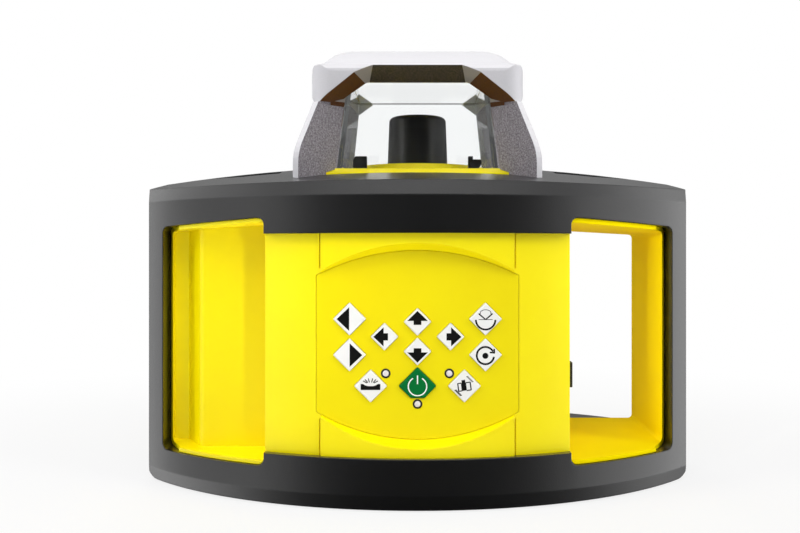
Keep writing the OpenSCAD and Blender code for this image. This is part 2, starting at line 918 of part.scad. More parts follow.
module lock_knob() {
    start = box_rear + cassette_gap + cover_thick;
    bar_w_knob = 5;
    disc_h = 2;
    lift = 0.1;
    color(black)
        translate([box_mid_x, 0, box_mid_z]) {
            bar_y_axis(start - cover_thick + 1 + lift, start + knob_h, knob_shaft_r);
            bar_y_axis(start + lift, start + disc_h, knob_r);
            intersection() {
                bar_y_axis(start + lift, start + knob_h, knob_r - 0.5);
                translate([-bar_w_knob / 2, start + lift, -far / 2])
                    cube([bar_w_knob, knob_h - lift, far]);
            }
        }
}

// Charging socket
module charge_socket() {
    flange = 2;
    flange_wide = 2;
    deep = 14;
    bore_deep = 10;
    pin_r = 1;
    wall_in = half_body - shell_wall;
    color(black)
        translate([0, -socket_y, socket_z])
            difference() {
                union() {
                    bar_x_axis(half_body - deep, half_body, socket_r);
                    bar_x_axis(wall_in - flange, wall_in, socket_r + flange_wide);
                }
                difference() {
                    bar_x_axis(half_body - bore_deep, far, socket_bore);
                    bar_x_axis(0, half_body - 1, pin_r);
                }
            }
}

module charge_cover() {
    lift = 0.2;
    knuckle_r = flap_thick / 2;
    hinge_y = flap_len / 2 - socket_y;
    corner = 0.8;
    color(black)
        translate([half_body + lift + knuckle_r, hinge_y, socket_z - flap_h / 2]) {
            cylinder(h = flap_h, r = knuckle_r);
            along_x(-knuckle_r, knuckle_r)
                polygon(rounded([[0, 0], [0, flap_h], [-flap_len, flap_h], [-flap_len, 0]], corner));
        }
}

// Keypad
// Diamond outline of a key, cut level at its foot
module key_outline(size, flat) {
    intersection() {
        polygon(rounded([[size, 0], [0, size], [-size, 0], [0, -size]], key_corner));
        translate([-size, -flat]) square([2 * size, size + flat]);
    }
}

// Every key in its place, with its outline grown by d
module all_key_outlines(d) {
    for (p = function_keys) translate(p) key_outline(key_size + d, key_size + d);
    for (p = arrow_keys) translate(p) key_outline(arrow_size + d, arrow_size + d);
    translate(power_key) key_outline(power_size + d, power_flat + d);
}

// Key cap with a flange behind the panel and a nub for its switch
module key(place, size, flat) {
    back = key_flange_gap - panel_back;
    grow = key_gap + key_flange_wide;
    translate([place.x, 0, place.y]) {
        along_y(-panel_y - key_proud, back + key_flange) key_outline(size, flat);
        along_y(back, back + key_flange)
            intersection() {
                key_outline(size + grow, size + grow);
                translate([-size, -flat]) square([2 * size, size + flat]);
            }
        bar_y_axis(back, back + key_flange + key_nub, key_nub_r);
    }
}

module function_key(i) {
    color(white) key(function_keys[i], key_size, key_size);
}

module arrow_key(i) {
    color(white) key(arrow_keys[i], arrow_size, arrow_size);
}

module keypad_panel() {
    color(yellow)
        difference() {
            union() {
                along_y(-panel_y, -panel_back) panel_outline(0);
                for (side = [-1, 1], z = board_post_rows)
                    translate([side * board_post_x, 0, z])
                        bar_y_axis(-panel_y + 1, -board_y, board_post_r);
            }
            along_y(-far / 2, 0) all_key_outlines(key_gap);
            for (p = leds) translate([p.x, 0, p.y]) bar_y_axis(-far / 2, 0, led_r + fit);
        }
}

module keypad_board() {
    color(board_green)
        along_y(-board_y, -board_y + board_thick) panel_outline(panel_ledge + 1);
}

module led_lenses() {
    proud = 0.4;
    color(white)
        for (p = leds)
            translate([p.x, 0, p.y]) bar_y_axis(-panel_y - proud, -board_y, led_r);
}

module button_power() {
    color(green) key(power_key, power_size, power_flat);
}

module button_up() {
    arrow_key(0);
}

module button_down() {
    arrow_key(1);
}

module button_left() {
    arrow_key(2);
}

module button_right() {
    arrow_key(3);
}

module button_scan_left() {
    function_key(0);
}

module button_scan_right() {
    function_key(1);
}

module button_scan_angle() {
    function_key(2);
}

module button_speed() {
    function_key(3);
}

module button_beam() {
    function_key(4);
}

module button_tilt() {
    function_key(5);
}

// Base
module base_plate() {
    color(black)
        difference() {
            cylinder(h = base_thick, r = base_r);
            translate([0, 0, -eps]) cylinder(h = far, r = insert_r + fit);
            base_screw_places() {
                translate([0, 0, -eps]) cylinder(h = far, r = screw_r + screw_slack);
                translate([0, 0, -eps])
                    cylinder(h = screw_head_h + 2 * eps, r = screw_head_r + screw_slack);
            }
        }
}

module tripod_insert() {
    flange = 2;
    color(brass)
        difference() {
            union() {
                cylinder(h = insert_h, r = insert_r);
                translate([0, 0, base_thick]) cylinder(h = flange, r = insert_r + 4);
            }
            translate([0, 0, -eps]) cylinder(h = thread_deep + eps, r = thread_r);
        }
}

module base_screws() {
    color(steel)
        base_screw_places() {
            translate([0, 0, eps]) cylinder(h = screw_head_h, r = screw_head_r);
            translate([0, 0, eps]) cylinder(h = chassis_floor - 2 * eps, r = screw_r);
        }
}

// Chassis that carries the gimbal and the level motors
module upright() {
    head = gimbal_z + pivot_r + 4;
    waist = bracket_top;
    along_x(upright_in, upright_out)
        polygon(mirrored([
            [upright_foot, body_bottom], [upright_foot, waist],
            [upright_head, waist + upright_foot], [upright_head, head]
        ]));
}

module chassis() {
    color(alloy)
        difference() {
            union() {
                ring(body_bottom, chassis_floor, insert_r + 5, plate_r);
                upright();
                mirror([1, 0, 0]) upright();
                along_y(bracket_y, bracket_y + bracket_thick)
                    translate([-upright_foot, body_bottom])
                        square([2 * upright_foot, bracket_top - body_bottom]);
            }
            translate([0, 0, gimbal_z]) bar_x_axis(-far / 2, far / 2, pivot_r + run_gap);
            translate([0, 0, yoke_x_z]) bar_x_axis(0, far / 2, motor_r + fit);
            translate([0, 0, yoke_y_z]) bar_y_axis(0, far / 2, motor_r + fit);
            base_screw_places() cylinder(h = chassis_floor + eps, r = screw_r + fit);
        }
}

// Level drives: a motor with a sliding rod that ends in a yoke
module level_motor() {
    neck = 3;
    neck_r = 4;
    difference() {
        union() {
            bar_y_axis(motor_start, motor_start + motor_len, motor_r);
            bar_y_axis(motor_start - neck, motor_start + eps, neck_r);
        }
        bar_y_axis(0, far / 2, rod_r + run_gap);
    }
}

module level_rod() {
    slot = foot_w / 2 + yoke_gap;
    jaw = slot + jaw_thick;
    translate([0, 0, -yoke_thick / 2])
        linear_extrude(yoke_thick)
            difference() {
                translate([-jaw_len - jaw_thick, -jaw]) square([2 * jaw_len + jaw_thick, 2 * jaw]);
                translate([-jaw_len, -slot]) square([far, 2 * slot]);
            }
    bar_y_axis(jaw - eps, rod_end, rod_r);
}

module level_motor_x() {
    color(steel) translate([0, 0, yoke_x_z]) rotate(-90) level_motor();
}

module level_motor_y() {
    color(steel) translate([0, 0, yoke_y_z]) level_motor();
}

module level_rod_x() {
    color(alloy) translate([0, 0, yoke_x_z]) rotate(-90) level_rod();
}

module level_rod_y() {
    color(alloy) translate([0, 0, yoke_y_z]) level_rod();
}

// Gimbal and laser tube
module gimbal_ring() {
    color(alloy)
        difference() {
            union() {
                ring(gimbal_z - ring_half, gimbal_z + ring_half, ring_in, ring_out);
                translate([0, 0, gimbal_z]) {
                    bar_x_axis(ring_out - 2, upright_out, pivot_r);
                    bar_x_axis(-upright_out, 2 - ring_out, pivot_r);
                }
            }
            translate([0, 0, gimbal_z]) bar_y_axis(-far / 2, far / 2, pivot_r + run_gap);
        }
}

module laser_barrel() {
    tube_bore = module_r + fit;
    cone_low = housing_low - (housing_r - tube_r);
    color(black)
        difference() {
            union() {
                rotate_extrude()
                    polygon([
                        [0, tube_low], [tube_r, tube_low], [tube_r, cone_low],
                        [housing_r, housing_low], [housing_r, barrel_top], [0, barrel_top]
                    ]);
                translate([-foot_w / 2, -foot_w / 2, foot_low])
                    cube([foot_w, foot_w, tube_low - foot_low + eps]);
                translate([0, 0, gimbal_z]) bar_y_axis(-ring_out, ring_out, pivot_r);
            }
            translate([0, 0, bearing_low]) cylinder(h = far, r = bearing_r + fit);
            translate([0, 0, tube_low + 2]) cylinder(h = far, r = tube_bore);
        }
}

module laser_module() {
    color(brass)
        translate([0, 0, tube_low + 2])
            difference() {
                cylinder(h = module_len, r = module_r);
                translate([0, 0, module_len - lens_thick - 1]) cylinder(h = far, r = lens_r + fit);
                translate([0, 0, module_len / 2]) cylinder(h = far, r = beam_bore);
            }
}

module collimator_lens() {
    color(clear_glass)
        translate([0, 0, tube_low + 1 + module_len - lens_thick]) cylinder(h = lens_thick, r = lens_r);
}

module spindle_bearings() {
    color(steel)
        for (z = [bearing_low, bearing_high])
            ring(z, z + bearing_w, spindle_r + run_gap, bearing_r);
}

module motor_stator() {
    color(brass)
        ring(bearing_low + bearing_w + 1.5, bearing_high - 1.5, magnet_r + air_gap, bearing_r);
}

// Rotor
module spindle() {
    color(steel)
        difference() {
            union() {
                translate([0, 0, spindle_low]) cylinder(h = flange_z - spindle_low, r = spindle_r);
                translate([0, 0, flange_z]) cylinder(h = flange_h, r = flange_r);
            }
            cylinder(h = far, r = beam_bore);
        }
}

module motor_magnet() {
    color(black)
        ring(bearing_low + bearing_w + 2, bearing_high - 2, spindle_r + fit, magnet_r);
}

module encoder_disc() {
    color(clear_glass)
        ring(flange_z - disc_thick, flange_z, spindle_r + fit, disc_r);
}

// Pocket that holds the prism, with its clearance
module prism_pocket(slack) {
    reach = prism_w * pocket_ratio;
    translate([0, 0, beam_z])
        translate([-prism_w / 2 - slack, -reach - slack, -prism_w / 2])
            cube([prism_w + 2 * slack, reach + prism_w / 2 + 2 * slack, prism_w / 2 + reach + slack]);
}

module rotor_cap() {
    color(black)
        difference() {
            rotate_extrude()
                polygon(concat(
                    [[0, rotor_foot_z], [flange_r, rotor_foot_z], [flange_r, rotor_foot_z + 1],
                     [rotor_r, rotor_skirt_z]],
                    corner_arc([rotor_r, rotor_skirt_z], [rotor_top_r, rotor_top_z],
                               [0, rotor_top_z], rotor_round, 6),
                    [[0, rotor_top_z]]
                ));
            cylinder(h = beam_z, r = beam_bore);
            prism_pocket(fit);
            translate([0, 0, beam_z]) {
                bar_y_axis(0, far, window_r - 1);
                bar_y_axis(window_y, far, window_r + fit);
            }
        }
}

module pentaprism() {
    half = prism_w / 2;
    mirror_len = prism_w / cos(22.5);
    color(clear_glass)
        translate([0, 0, beam_z])
            along_x(-half, half)
                polygon([
                    [half, -half], [half, half],
                    [half - mirror_len * cos(22.5), half + mirror_len * sin(22.5)],
                    [-half - mirror_len * sin(22.5), mirror_len * cos(22.5) - half],
                    [-half, -half]
                ]);
}

module beam_window() {
    color(clear_glass)
        translate([0, 0, beam_z]) bar_y_axis(window_y, window_y + window_thick, window_r);
}

// Deck, cage and glass
module square_frustum(rows) {
    outline = mirrored(rows);
    intersection() {
        along_y(-far / 2, far / 2) polygon(outline);
        along_x(-far / 2, far / 2) polygon(outline);
    }
}

module deck_block(grow) {
    square_frustum([
        [deck_half + grow, seat_z - grow], [deck_half + grow, seat_z + deck_edge + grow],
        [glass_half + glass_ledge + grow, seat_z + deck_h + grow]
    ]);
}

module deck() {
    color(yellow)
        difference() {
            union() {
                deck_block(0);
                rotate_extrude()
                    polygon([
                        [0, seat_z], [plinth_r + plinth_flare, seat_z],
                        [plinth_r + plinth_flare, seat_z + deck_h],
                        [plinth_r, seat_z + plinth_h], [0, seat_z + plinth_h]
                    ]);
            }
            cylinder(h = far, r = deck_hole);
        }
}

// Feet of the cage, or with slack and height the slots that take them
module cage_feet(slack, tall) {
    for (a = [45 : 90 : 315])
        rotate(a)
            translate([foot_in - slack, -fin_thick / 2 - slack, seat_z - foot_sink])
                cube([foot_out - foot_in + 2 * slack, fin_thick + 2 * slack, tall]);
}

module cage_block() {
    side = mirrored([for (p = cage_side()) [p.x, seat_z + p.y]]);
    tip = mirrored([for (p = cage_side()) [p.x * sqrt(2) - fin_thick / 2, seat_z + p.y]]);
    inner = 2 * (roof_half - roof_corner);
    intersection() {
        along_y(-far / 2, far / 2) polygon(side);
        along_x(-far / 2, far / 2) polygon(side);
        rotate(45) along_y(-far / 2, far / 2) polygon(tip);
        rotate(45) along_x(-far / 2, far / 2) polygon(tip);
        union() {
            translate([-far / 2, -far / 2, 0]) cube([far, far, seat_z + waist_h]);
            linear_extrude(far) {
                square([2 * roof_half, inner], center = true);
                square([inner, 2 * roof_half], center = true);
                for (sx = [-1, 1], sy = [-1, 1])
                    translate([sx * inner / 2, sy * inner / 2]) circle(roof_corner);
            }
        }
    }
}

// Opening on the front side: a splayed lower part and an arch that narrows inward
module cage_opening() {
    spring_z = seat_z + waist_h;
    below = 1;
    inward = 4;
    translate([0, 0, seat_z - eps])
        linear_extrude(waist_h + eps)
            polygon([[0, -fin_side], [far, -far - fin_side], [-far, -far - fin_side]]);
    hull() {
        along_y(-cage_half, -roof_half)
            polygon(mirrored([
                [arch_edge, spring_z - below], [arch_edge, spring_z],
                [arch_haunch, seat_z + haunch_h], [arch_front_crown, seat_z + shoulder_h - shoulder_r / 5]
            ]));
        along_y(-arch_in, inward - glass_head)
            polygon(mirrored([
                [arch_foot, spring_z - below], [arch_foot, spring_z + arch_lift],
                [arch_crown, seat_z + arch_h]
            ]));
    }
}

module cage() {
    color(alloy) {
        difference() {
            cage_block();
            for (a = [0 : 90 : 270]) rotate(a) cage_opening();
            rotate(45)
                square_frustum([
                    [fin_foot, seat_z - eps], [fin_foot, seat_z],
                    [fin_head, seat_z + waist_h + arch_lift]
                ]);
            square_frustum([
                [glass_half + glass_gap, seat_z - eps], [glass_half + glass_gap, glass_low],
                [glass_head + glass_gap, glass_high + glass_gap]
            ]);
            deck_block(fit);
        }
        cage_feet(0, foot_sink + eps);
    }
}

// Leaning pane on the front side
module pane(inset) {
    low = glass_low + glass_gap / 2;
    high = glass_high;
    color(clear_glass)
        intersection() {
            along_x(-far / 2, far / 2)
                polygon([
                    [-glass_half, low], [glass_thick - glass_half, low],
                    [glass_thick - glass_head, high], [-glass_head, high]
                ]);
            along_y(-far / 2, 0)
                polygon(mirrored([[glass_half - inset, low], [glass_head - inset, high]]));
        }
}

module window_front() {
    pane(glass_gap);
}

module window_rear() {
    rotate(180) pane(glass_gap);
}

module window_left() {
    rotate(-90) pane(glass_thick + 2 * glass_gap);
}

module window_right() {
    rotate(90) pane(glass_thick + 2 * glass_gap);
}

module pane_clips() {
    foot = seat_z + deck_h;
    tall = clip_size * clip_rise;
    hook = tall * clip_hook;
    color(black)
        for (sx = [-1, 1], sy = [-1, 1])
            translate([sx * clip_x, sy * clip_y, foot])
                along_y(-clip_size / 2, clip_size / 2)
                    if (sx < 0)
                        polygon([[-clip_size / 2, 0], [clip_size / 2, 0], [clip_size / 2, tall],
                                 [-clip_size / 3, tall], [-clip_size / 2, hook]]);
                    else
                        difference() {
                            union() {
                                translate([-clip_size / 2, 0]) square([clip_size / 2, tall]);
                                translate([0, tall / 2]) circle(tall / 2);
                                translate([-clip_size / 2, 0]) square([hook, tall / 2]);
                            }
                            translate([-clip_size / 6, hook]) square(tall);
                        }
}

front_frame();
rear_frame();
front_shell();
rear_shell();
grip_liner();
battery_box();
keypad_panel();
keypad_board();
led_lenses();
main_board();
charge_socket();
charge_cover();
base_plate();
tripod_insert();
base_screws();
frame_screws();
deck();
cage();
window_front();
window_rear();
window_left();
window_right();
pane_clips();
chassis();
level_motor_x();
level_motor_y();
level_rod_x();
level_rod_y();
gimbal_ring();
laser_barrel();
laser_module();
collimator_lens();
spindle_bearings();
motor_stator();
spindle();
motor_magnet();
encoder_disc();
rotor_cap();
pentaprism();
beam_window();
battery_cover();
battery_pack();
battery_cells();
lock_knob();
button_power();
button_up();
button_down();
button_left();
button_right();
button_scan_left();
button_scan_right();
button_scan_angle();
button_speed();
button_beam();
button_tilt();
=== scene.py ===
# %% [markdown]
# A rotating laser level stands on a tripod and sweeps a beam round the site. Its hard
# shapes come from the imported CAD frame, which is loaded first and never moved. This
# lesson adds what CAD leaves out: finishes, printed signs, moulded key caps and screws.

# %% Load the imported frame
import math
import bpy
import bmesh
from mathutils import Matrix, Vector


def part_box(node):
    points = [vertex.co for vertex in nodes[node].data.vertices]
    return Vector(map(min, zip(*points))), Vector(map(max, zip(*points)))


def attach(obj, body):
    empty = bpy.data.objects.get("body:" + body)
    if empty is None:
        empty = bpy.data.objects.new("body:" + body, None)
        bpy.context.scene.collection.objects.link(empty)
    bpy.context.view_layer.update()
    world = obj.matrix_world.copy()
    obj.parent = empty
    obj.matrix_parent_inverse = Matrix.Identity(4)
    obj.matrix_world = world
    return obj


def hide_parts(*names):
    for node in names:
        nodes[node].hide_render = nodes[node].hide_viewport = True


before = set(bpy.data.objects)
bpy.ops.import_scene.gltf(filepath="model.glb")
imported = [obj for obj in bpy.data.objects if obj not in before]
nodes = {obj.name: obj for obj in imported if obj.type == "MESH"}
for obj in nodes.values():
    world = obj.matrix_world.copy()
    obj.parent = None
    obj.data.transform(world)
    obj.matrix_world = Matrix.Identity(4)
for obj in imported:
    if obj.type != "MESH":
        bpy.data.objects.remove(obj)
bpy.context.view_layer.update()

MM = 0.001

# %% [markdown]
# The photograph was taken from the front, at about the height of the keypad's upper edge.
# The frame of the picture is 800 by 533 pixels, and a focal length of 951 pixels gives the
# perspective. A shifted lens keeps the uprights parallel, as a view camera does: its axis
# meets the picture a little above the middle and to the right of it.

# %% Camera
scene = bpy.context.scene
scene.view_settings.view_transform = "Standard"
PICTURE_WIDE, PICTURE_HIGH = 800, 533
FOCAL_PIXELS = 951
AXIS_X, AXIS_Y = 417.5, 257
EYE_AWAY, EYE_HIGH = 475 * MM, 104.6 * MM
SENSOR = 36
camera_data = bpy.data.cameras.new("front_camera")
camera_data.sensor_width = SENSOR
camera_data.lens = SENSOR * FOCAL_PIXELS / PICTURE_WIDE
camera_data.shift_x = (PICTURE_WIDE / 2 - AXIS_X) / PICTURE_WIDE
camera_data.shift_y = (AXIS_Y - PICTURE_HIGH / 2) / PICTURE_WIDE
camera = bpy.data.objects.new("front_camera", camera_data)
camera.location = (0, -EYE_AWAY, EYE_HIGH)
camera.rotation_euler = (math.pi / 2, 0, 0)
scene.collection.objects.link(camera)
scene.camera = camera
print("lens", round(camera_data.lens, 2), "mm")

# %% [markdown]
# Every finish below is a small graph of shader nodes. Two helpers keep the graphs short:
# one turns the colours seen on a screen into linear light, the other adds a node with its
# settings and joins its sockets in one line.

# %% Helpers for finishes
def linear(code):
    """Linear colour of an sRGB hex code."""
    parts = [int(code[i:i + 2], 16) / 255 for i in (1, 3, 5)]
    return (*[c / 12.92 if c <= 0.04045 else ((c + 0.055) / 1.055) ** 2.4 for c in parts], 1.0)


def add(tree, kind, settings=None, inputs=None):
    """One node: settings are its properties, inputs are values, or nodes and sockets to join."""
    node = tree.nodes.new(kind)
    for name, value in (settings or {}).items():
        setattr(node, name, value)
    for name, value in (inputs or {}).items():
        if isinstance(value, bpy.types.Node):
            value = value.outputs[0]
        if isinstance(value, bpy.types.NodeSocket):
            tree.links.new(value, node.inputs[name])
        else:
            node.inputs[name].default_value = value
    return node


def open_material(name):
    """An empty material and its node tree."""
    material = bpy.data.materials.new(name)
    material.use_nodes = True
    material.node_tree.nodes.clear()
    return material, material.node_tree


def cells(size_mm):
    """Texture scale that makes a pattern repeat about every size_mm millimetres."""
    return 1 / (size_mm * MM)


TIMES = {"operation": "MULTIPLY"}
LARGER = {"operation": "MAXIMUM"}
SMALLER = {"operation": "MINIMUM"}
# These two keep their results between 0 and 1.
PLUS = {"operation": "ADD", "use_clamp": True}
MINUS = {"operation": "SUBTRACT", "use_clamp": True}
SMOOTH = {"interpolation_type": "SMOOTHSTEP"}
COLOURS = {"data_type": "RGBA"}
WHITE = linear("#FFFFFF")
print("yellow in linear light", [round(c, 3) for c in linear("#FFE60A")])

# %% [markdown]
# The stage is a white sweep. Its sky is white for the camera and through glass, and dimmer
# for the light it sheds. Reflections see a room instead, with dark walls, a pale ceiling
# and back wall, a bright sheet on either side and a hood over the front. Smooth steps over
# the direction of the ray draw this room, X to the right, Y to the back and Z up.

# %% Stage: the room in reflections
DARK_WALL, PALE_WALL, CEILING = 0.06, 0.35, 1.5
RIGHT_SHEET, LEFT_SHEET, FRONT_HOOD = 3.6, 3.4, 5.0
# Each step: part of the direction, where it starts and ends, and the strength at both ends.
STEPS = {
    "back_wall": ("Y", 0.1, 0.6, DARK_WALL, PALE_WALL),
    "ceiling": ("Z", 0.15, 0.75, DARK_WALL, CEILING),
    "ceiling_edge": ("Y", -0.75, -0.4, 0.0, 1.0),
    "right_sheet": ("X", 0.68, 0.9, 0.0, RIGHT_SHEET),
    "right_fade": ("X", 0.9, 1.0, 1.0, 0.9),
    "left_sheet": ("X", -0.6, -0.8, 0.0, LEFT_SHEET),
    "left_fade": ("X", -0.8, -1.0, 1.0, 0.45),
    "hood": ("Z", 0.48, 0.64, 0.0, FRONT_HOOD),
    "hood_edge": ("Y", -0.3, -0.6, 0.0, 1.0),
}
sky = bpy.data.worlds.new("studio")
scene.world = sky
sky.use_nodes = True
tree = sky.node_tree
tree.nodes.clear()
ray = add(tree, "ShaderNodeTexCoord").outputs["Generated"]
toward = add(tree, "ShaderNodeSeparateXYZ", None, {0: ray}).outputs
step = {}
for name, (axis, start, end, low, high) in STEPS.items():
    step[name] = add(tree, "ShaderNodeMapRange", SMOOTH,
                     {"Value": toward[axis], "From Min": start, "From Max": end,
                      "To Min": low, "To Max": high})
strength = step["back_wall"]
for name, limit in (("ceiling", "ceiling_edge"), ("right_sheet", "right_fade"),
                    ("left_sheet", "left_fade"), ("hood", "hood_edge")):
    surface = add(tree, "ShaderNodeMath", TIMES, {0: step[name], 1: step[limit]})
    strength = add(tree, "ShaderNodeMath", LARGER, {0: strength, 1: surface})
print("steps of light", len(step))

# %% [markdown]
# A ray that comes straight from the camera or through a pane sees white. One that was turned
# by a matt surface gets the light that the sky sheds, and one that was mirrored sees the
# room. The panes show only a quarter of it, because their sharp reflections would hide the
# rotor behind them.

# %% Stage: what each ray sees of the sky
PANE_SHARE = 0.25
SHED = 0.32
paths = add(tree, "ShaderNodeLightPath").outputs
pane = add(tree, "ShaderNodeMapRange", SMOOTH,
           {"Value": paths["Is Singular Ray"], "To Min": 1.0, "To Max": PANE_SHARE})
bright = add(tree, "ShaderNodeMath", TIMES, {0: strength, 1: pane})
straight = add(tree, "ShaderNodeMath", LARGER,
               {0: paths["Is Camera Ray"], 1: paths["Is Transmission Ray"]})
turned = add(tree, "ShaderNodeMath", PLUS, {0: paths["Diffuse Depth"], 1: paths["Glossy Depth"]})
seen = add(tree, "ShaderNodeMath", MINUS, {0: straight, 1: turned})
glanced = add(tree, "ShaderNodeMath", SMALLER, {0: paths["Glossy Depth"], 1: 1.0})
shed, room, shown = [add(tree, "ShaderNodeBackground", None, {"Color": WHITE, "Strength": light})
                     for light in (SHED, bright, 1.0)]
mirrored = add(tree, "ShaderNodeMixShader", None, {0: glanced, 1: shed, 2: room})
mixed = add(tree, "ShaderNodeMixShader", None, {0: seen, 1: mirrored, 2: shown})
add(tree, "ShaderNodeOutputWorld", None, {"Surface": mixed})
print("sky nodes", len(tree.nodes))

# %% [markdown]
# The floor is part lit and part glowing. It glows fully from half a metre on, so the ground
# is white up to the sky, and near the base it keeps a soft shadow. Reflections look through
# it into the dark room, which gives the lower edge of the frame its depth.

# %% Stage: floor
GLOW_NEAR, GLOW_FAR, NEAR_SHARE = 0.15, 0.5, 0.8
# Matt white paint: plain white that takes a shadow and shows no grain.
sweep_paint, tree = open_material("white_sweep_paint")
paths = add(tree, "ShaderNodeLightPath").outputs
place = add(tree, "ShaderNodeTexCoord").outputs["Object"]
away = add(tree, "ShaderNodeVectorMath", {"operation": "LENGTH"}, {0: place}).outputs["Value"]
grown = add(tree, "ShaderNodeMapRange", SMOOTH,
            {"Value": away, "From Min": GLOW_NEAR, "From Max": GLOW_FAR, "To Min": NEAR_SHARE})
straight = add(tree, "ShaderNodeMath", LARGER,
               {0: paths["Is Camera Ray"], 1: paths["Is Transmission Ray"]})
share = add(tree, "ShaderNodeMath", TIMES, {0: straight, 1: grown})
lit = add(tree, "ShaderNodeBsdfDiffuse", None, {"Color": linear("#F4F4F4")})
glow = add(tree, "ShaderNodeEmission", None, {"Color": WHITE, "Strength": 1.0})
painted = add(tree, "ShaderNodeMixShader", None, {0: share, 1: lit, 2: glow})
mirrored = add(tree, "ShaderNodeMath", MINUS,
               {0: paths["Is Glossy Ray"], 1: paths["Is Transmission Ray"]})
gap = add(tree, "ShaderNodeBsdfTransparent")
opened = add(tree, "ShaderNodeMixShader", None, {0: mirrored, 1: painted, 2: gap})
add(tree, "ShaderNodeOutputMaterial", None, {"Surface": opened})

FLOOR_HALF, FLOOR_Z = 4, -0.0003
corners = [(x * FLOOR_HALF, y * FLOOR_HALF, FLOOR_Z) for x, y in ((-1, -1), (1, -1), (1, 1), (-1, 1))]
floor_mesh = bpy.data.meshes.new("floor")
floor_mesh.from_pydata(corners, [], [(0, 1, 2, 3)])
floor_mesh.materials.append(sweep_paint)
floor = bpy.data.objects.new("floor", floor_mesh)
scene.collection.objects.link(floor)
print("floor", 2 * FLOOR_HALF, "m wide")

# %% [markdown]
# Four softboxes give the light. A snoot throws some more into the left recess, and a beam
# some into the right grip. Its cone is squeezed to an upright strip, so that it passes
# beside the body. The lamps are left out of reflections, which see the room's sheets and
# hood in their place.

# %% Stage: lamps
MIDDLE = (0, 0, 0.1)
STRIP_SHARE = 0.27


def hang(data, place, aim):
    """Puts a lamp at place, turned to aim and left out of reflections."""
    lamp = bpy.data.objects.new(data.name, data)
    lamp.location = place
    lamp.rotation_euler = (Vector(aim) - Vector(place)).to_track_quat("-Z", "Y").to_euler()
    lamp.visible_glossy = False
    scene.collection.objects.link(lamp)
    return lamp


def softbox(name, place, wide, tall, power):
    """Flat lamp that faces the middle of the instrument."""
    data = bpy.data.lights.new(name, "AREA")
    data.shape = "RECTANGLE"
    data.size = wide
    data.size_y = tall
    data.energy = power
    hang(data, place, MIDDLE)


def spotlight(name, place, aim, cone, blend, radius, power):
    """Lamp with a cone of light, its full angle in degrees."""
    data = bpy.data.lights.new(name, "SPOT")
    data.energy = power
    data.spot_size = math.radians(cone)
    data.spot_blend = blend
    data.shadow_soft_size = radius
    return hang(data, place, aim)


softbox("right_softbox", (1.2, -0.8, 0.8), 0.4, 0.8, 8.5)
softbox("left_softbox", (-1.3, -0.6, 0.8), 0.5, 0.8, 8.5)
softbox("top_softbox", (0, -0.95, 1.25), 1.0, 1.0, 7.5)
softbox("back_softbox", (-0.4, 1.4, 0.9), 0.8, 0.8, 6)
spotlight("recess_snoot", (0.6, -1.4, 0.15), (-0.11, 0.01, 0.085), 4, 0.7, 0.05, 32)
beam = spotlight("grip_beam", (-0.65, -1.1, 0.2), (0.128, -0.018, 0.078), 7, 0.5, 0.01, 40)
beam.scale.x = STRIP_SHARE

# %% [markdown]
# Most of the pieces are moulded, cast or turned, and such surfaces share one build: a fine
# grain that moves the gloss and the light, a slow drift of tone, and softened edges. The
# size of the grain in millimetres and the two tones are what tell the finishes apart.

# %% Grained finishes
def grained(name, tone, low_tone, grain_mm, bump_mm, gloss, drift_mm=30, edge_mm=0.4, sockets=None):
    """Finish with fine grain; gloss is the lowest and highest roughness."""
    material, tree = open_material(name)
    place = add(tree, "ShaderNodeTexCoord").outputs["Object"]
    grain = add(tree, "ShaderNodeTexNoise", None,
                {"Vector": place, "Scale": cells(grain_mm), "Detail": 2.0, "Roughness": 0.6})
    drift = add(tree, "ShaderNodeTexNoise", None,
                {"Vector": place, "Scale": cells(drift_mm), "Detail": 3.0})
    part = add(tree, "ShaderNodeMapRange", None,
               {"Value": drift, "From Min": 0.35, "From Max": 0.65})
    colour = add(tree, "ShaderNodeMix", COLOURS, {0: part, 6: linear(low_tone), 7: linear(tone)})
    rough = add(tree, "ShaderNodeMapRange", None,
                {"Value": grain, "From Min": 0.3, "From Max": 0.7, "To Min": gloss[0], "To Max": gloss[1]})
    edge = add(tree, "ShaderNodeBevel", {"samples": 6}, {"Radius": edge_mm * MM})
    relief = add(tree, "ShaderNodeBump", None,
                 {"Strength": 1.0, "Distance": bump_mm * MM, "Height": grain, "Normal": edge})
    shader = add(tree, "ShaderNodeBsdfPrincipled", None,
                 {"Base Color": colour.outputs[2], "Roughness": rough, "Normal": relief, **(sockets or {})})
    add(tree, "ShaderNodeOutputMaterial", None, {"Surface": shader})
    return material


finish = {}
# Moulded elastomer, spark-textured: soft grey sheen that never mirrors.
finish["black_frame"] = grained("black_moulded_elastomer", "#0E0E0F", "#0B0B0C", 0.6, 0.035,
                                (0.35, 0.43), edge_mm=0.9, sockets={"Specular IOR Level": 0.35})
# Injection-moulded ABS, satin: a clean saturated yellow with a soft broad highlight.
finish["yellow_body"] = grained("yellow_moulded_abs", "#FBEB00", "#FAE700", 0.7, 0.006,
                                (0.33, 0.41), edge_mm=0.5, sockets={"Specular IOR Level": 0.3})
# The sleeve in the grip: same plastic with a coarser spark texture, so it hardly shines.
finish["yellow_sleeve"] = grained("yellow_textured_abs", "#FFE800", "#FDE400", 0.5, 0.012,
                                  (0.7, 0.8), edge_mm=0.5, sockets={"Specular IOR Level": 0.04})
# Printed polycarbonate film, matt: a touch deeper and flatter than the shell round it.
finish["yellow_panel"] = grained("yellow_matt_film", "#F0DF00", "#EEDB00", 0.35, 0.004,
                                 (0.48, 0.56), edge_mm=0.3, sockets={"Specular IOR Level": 0.2})
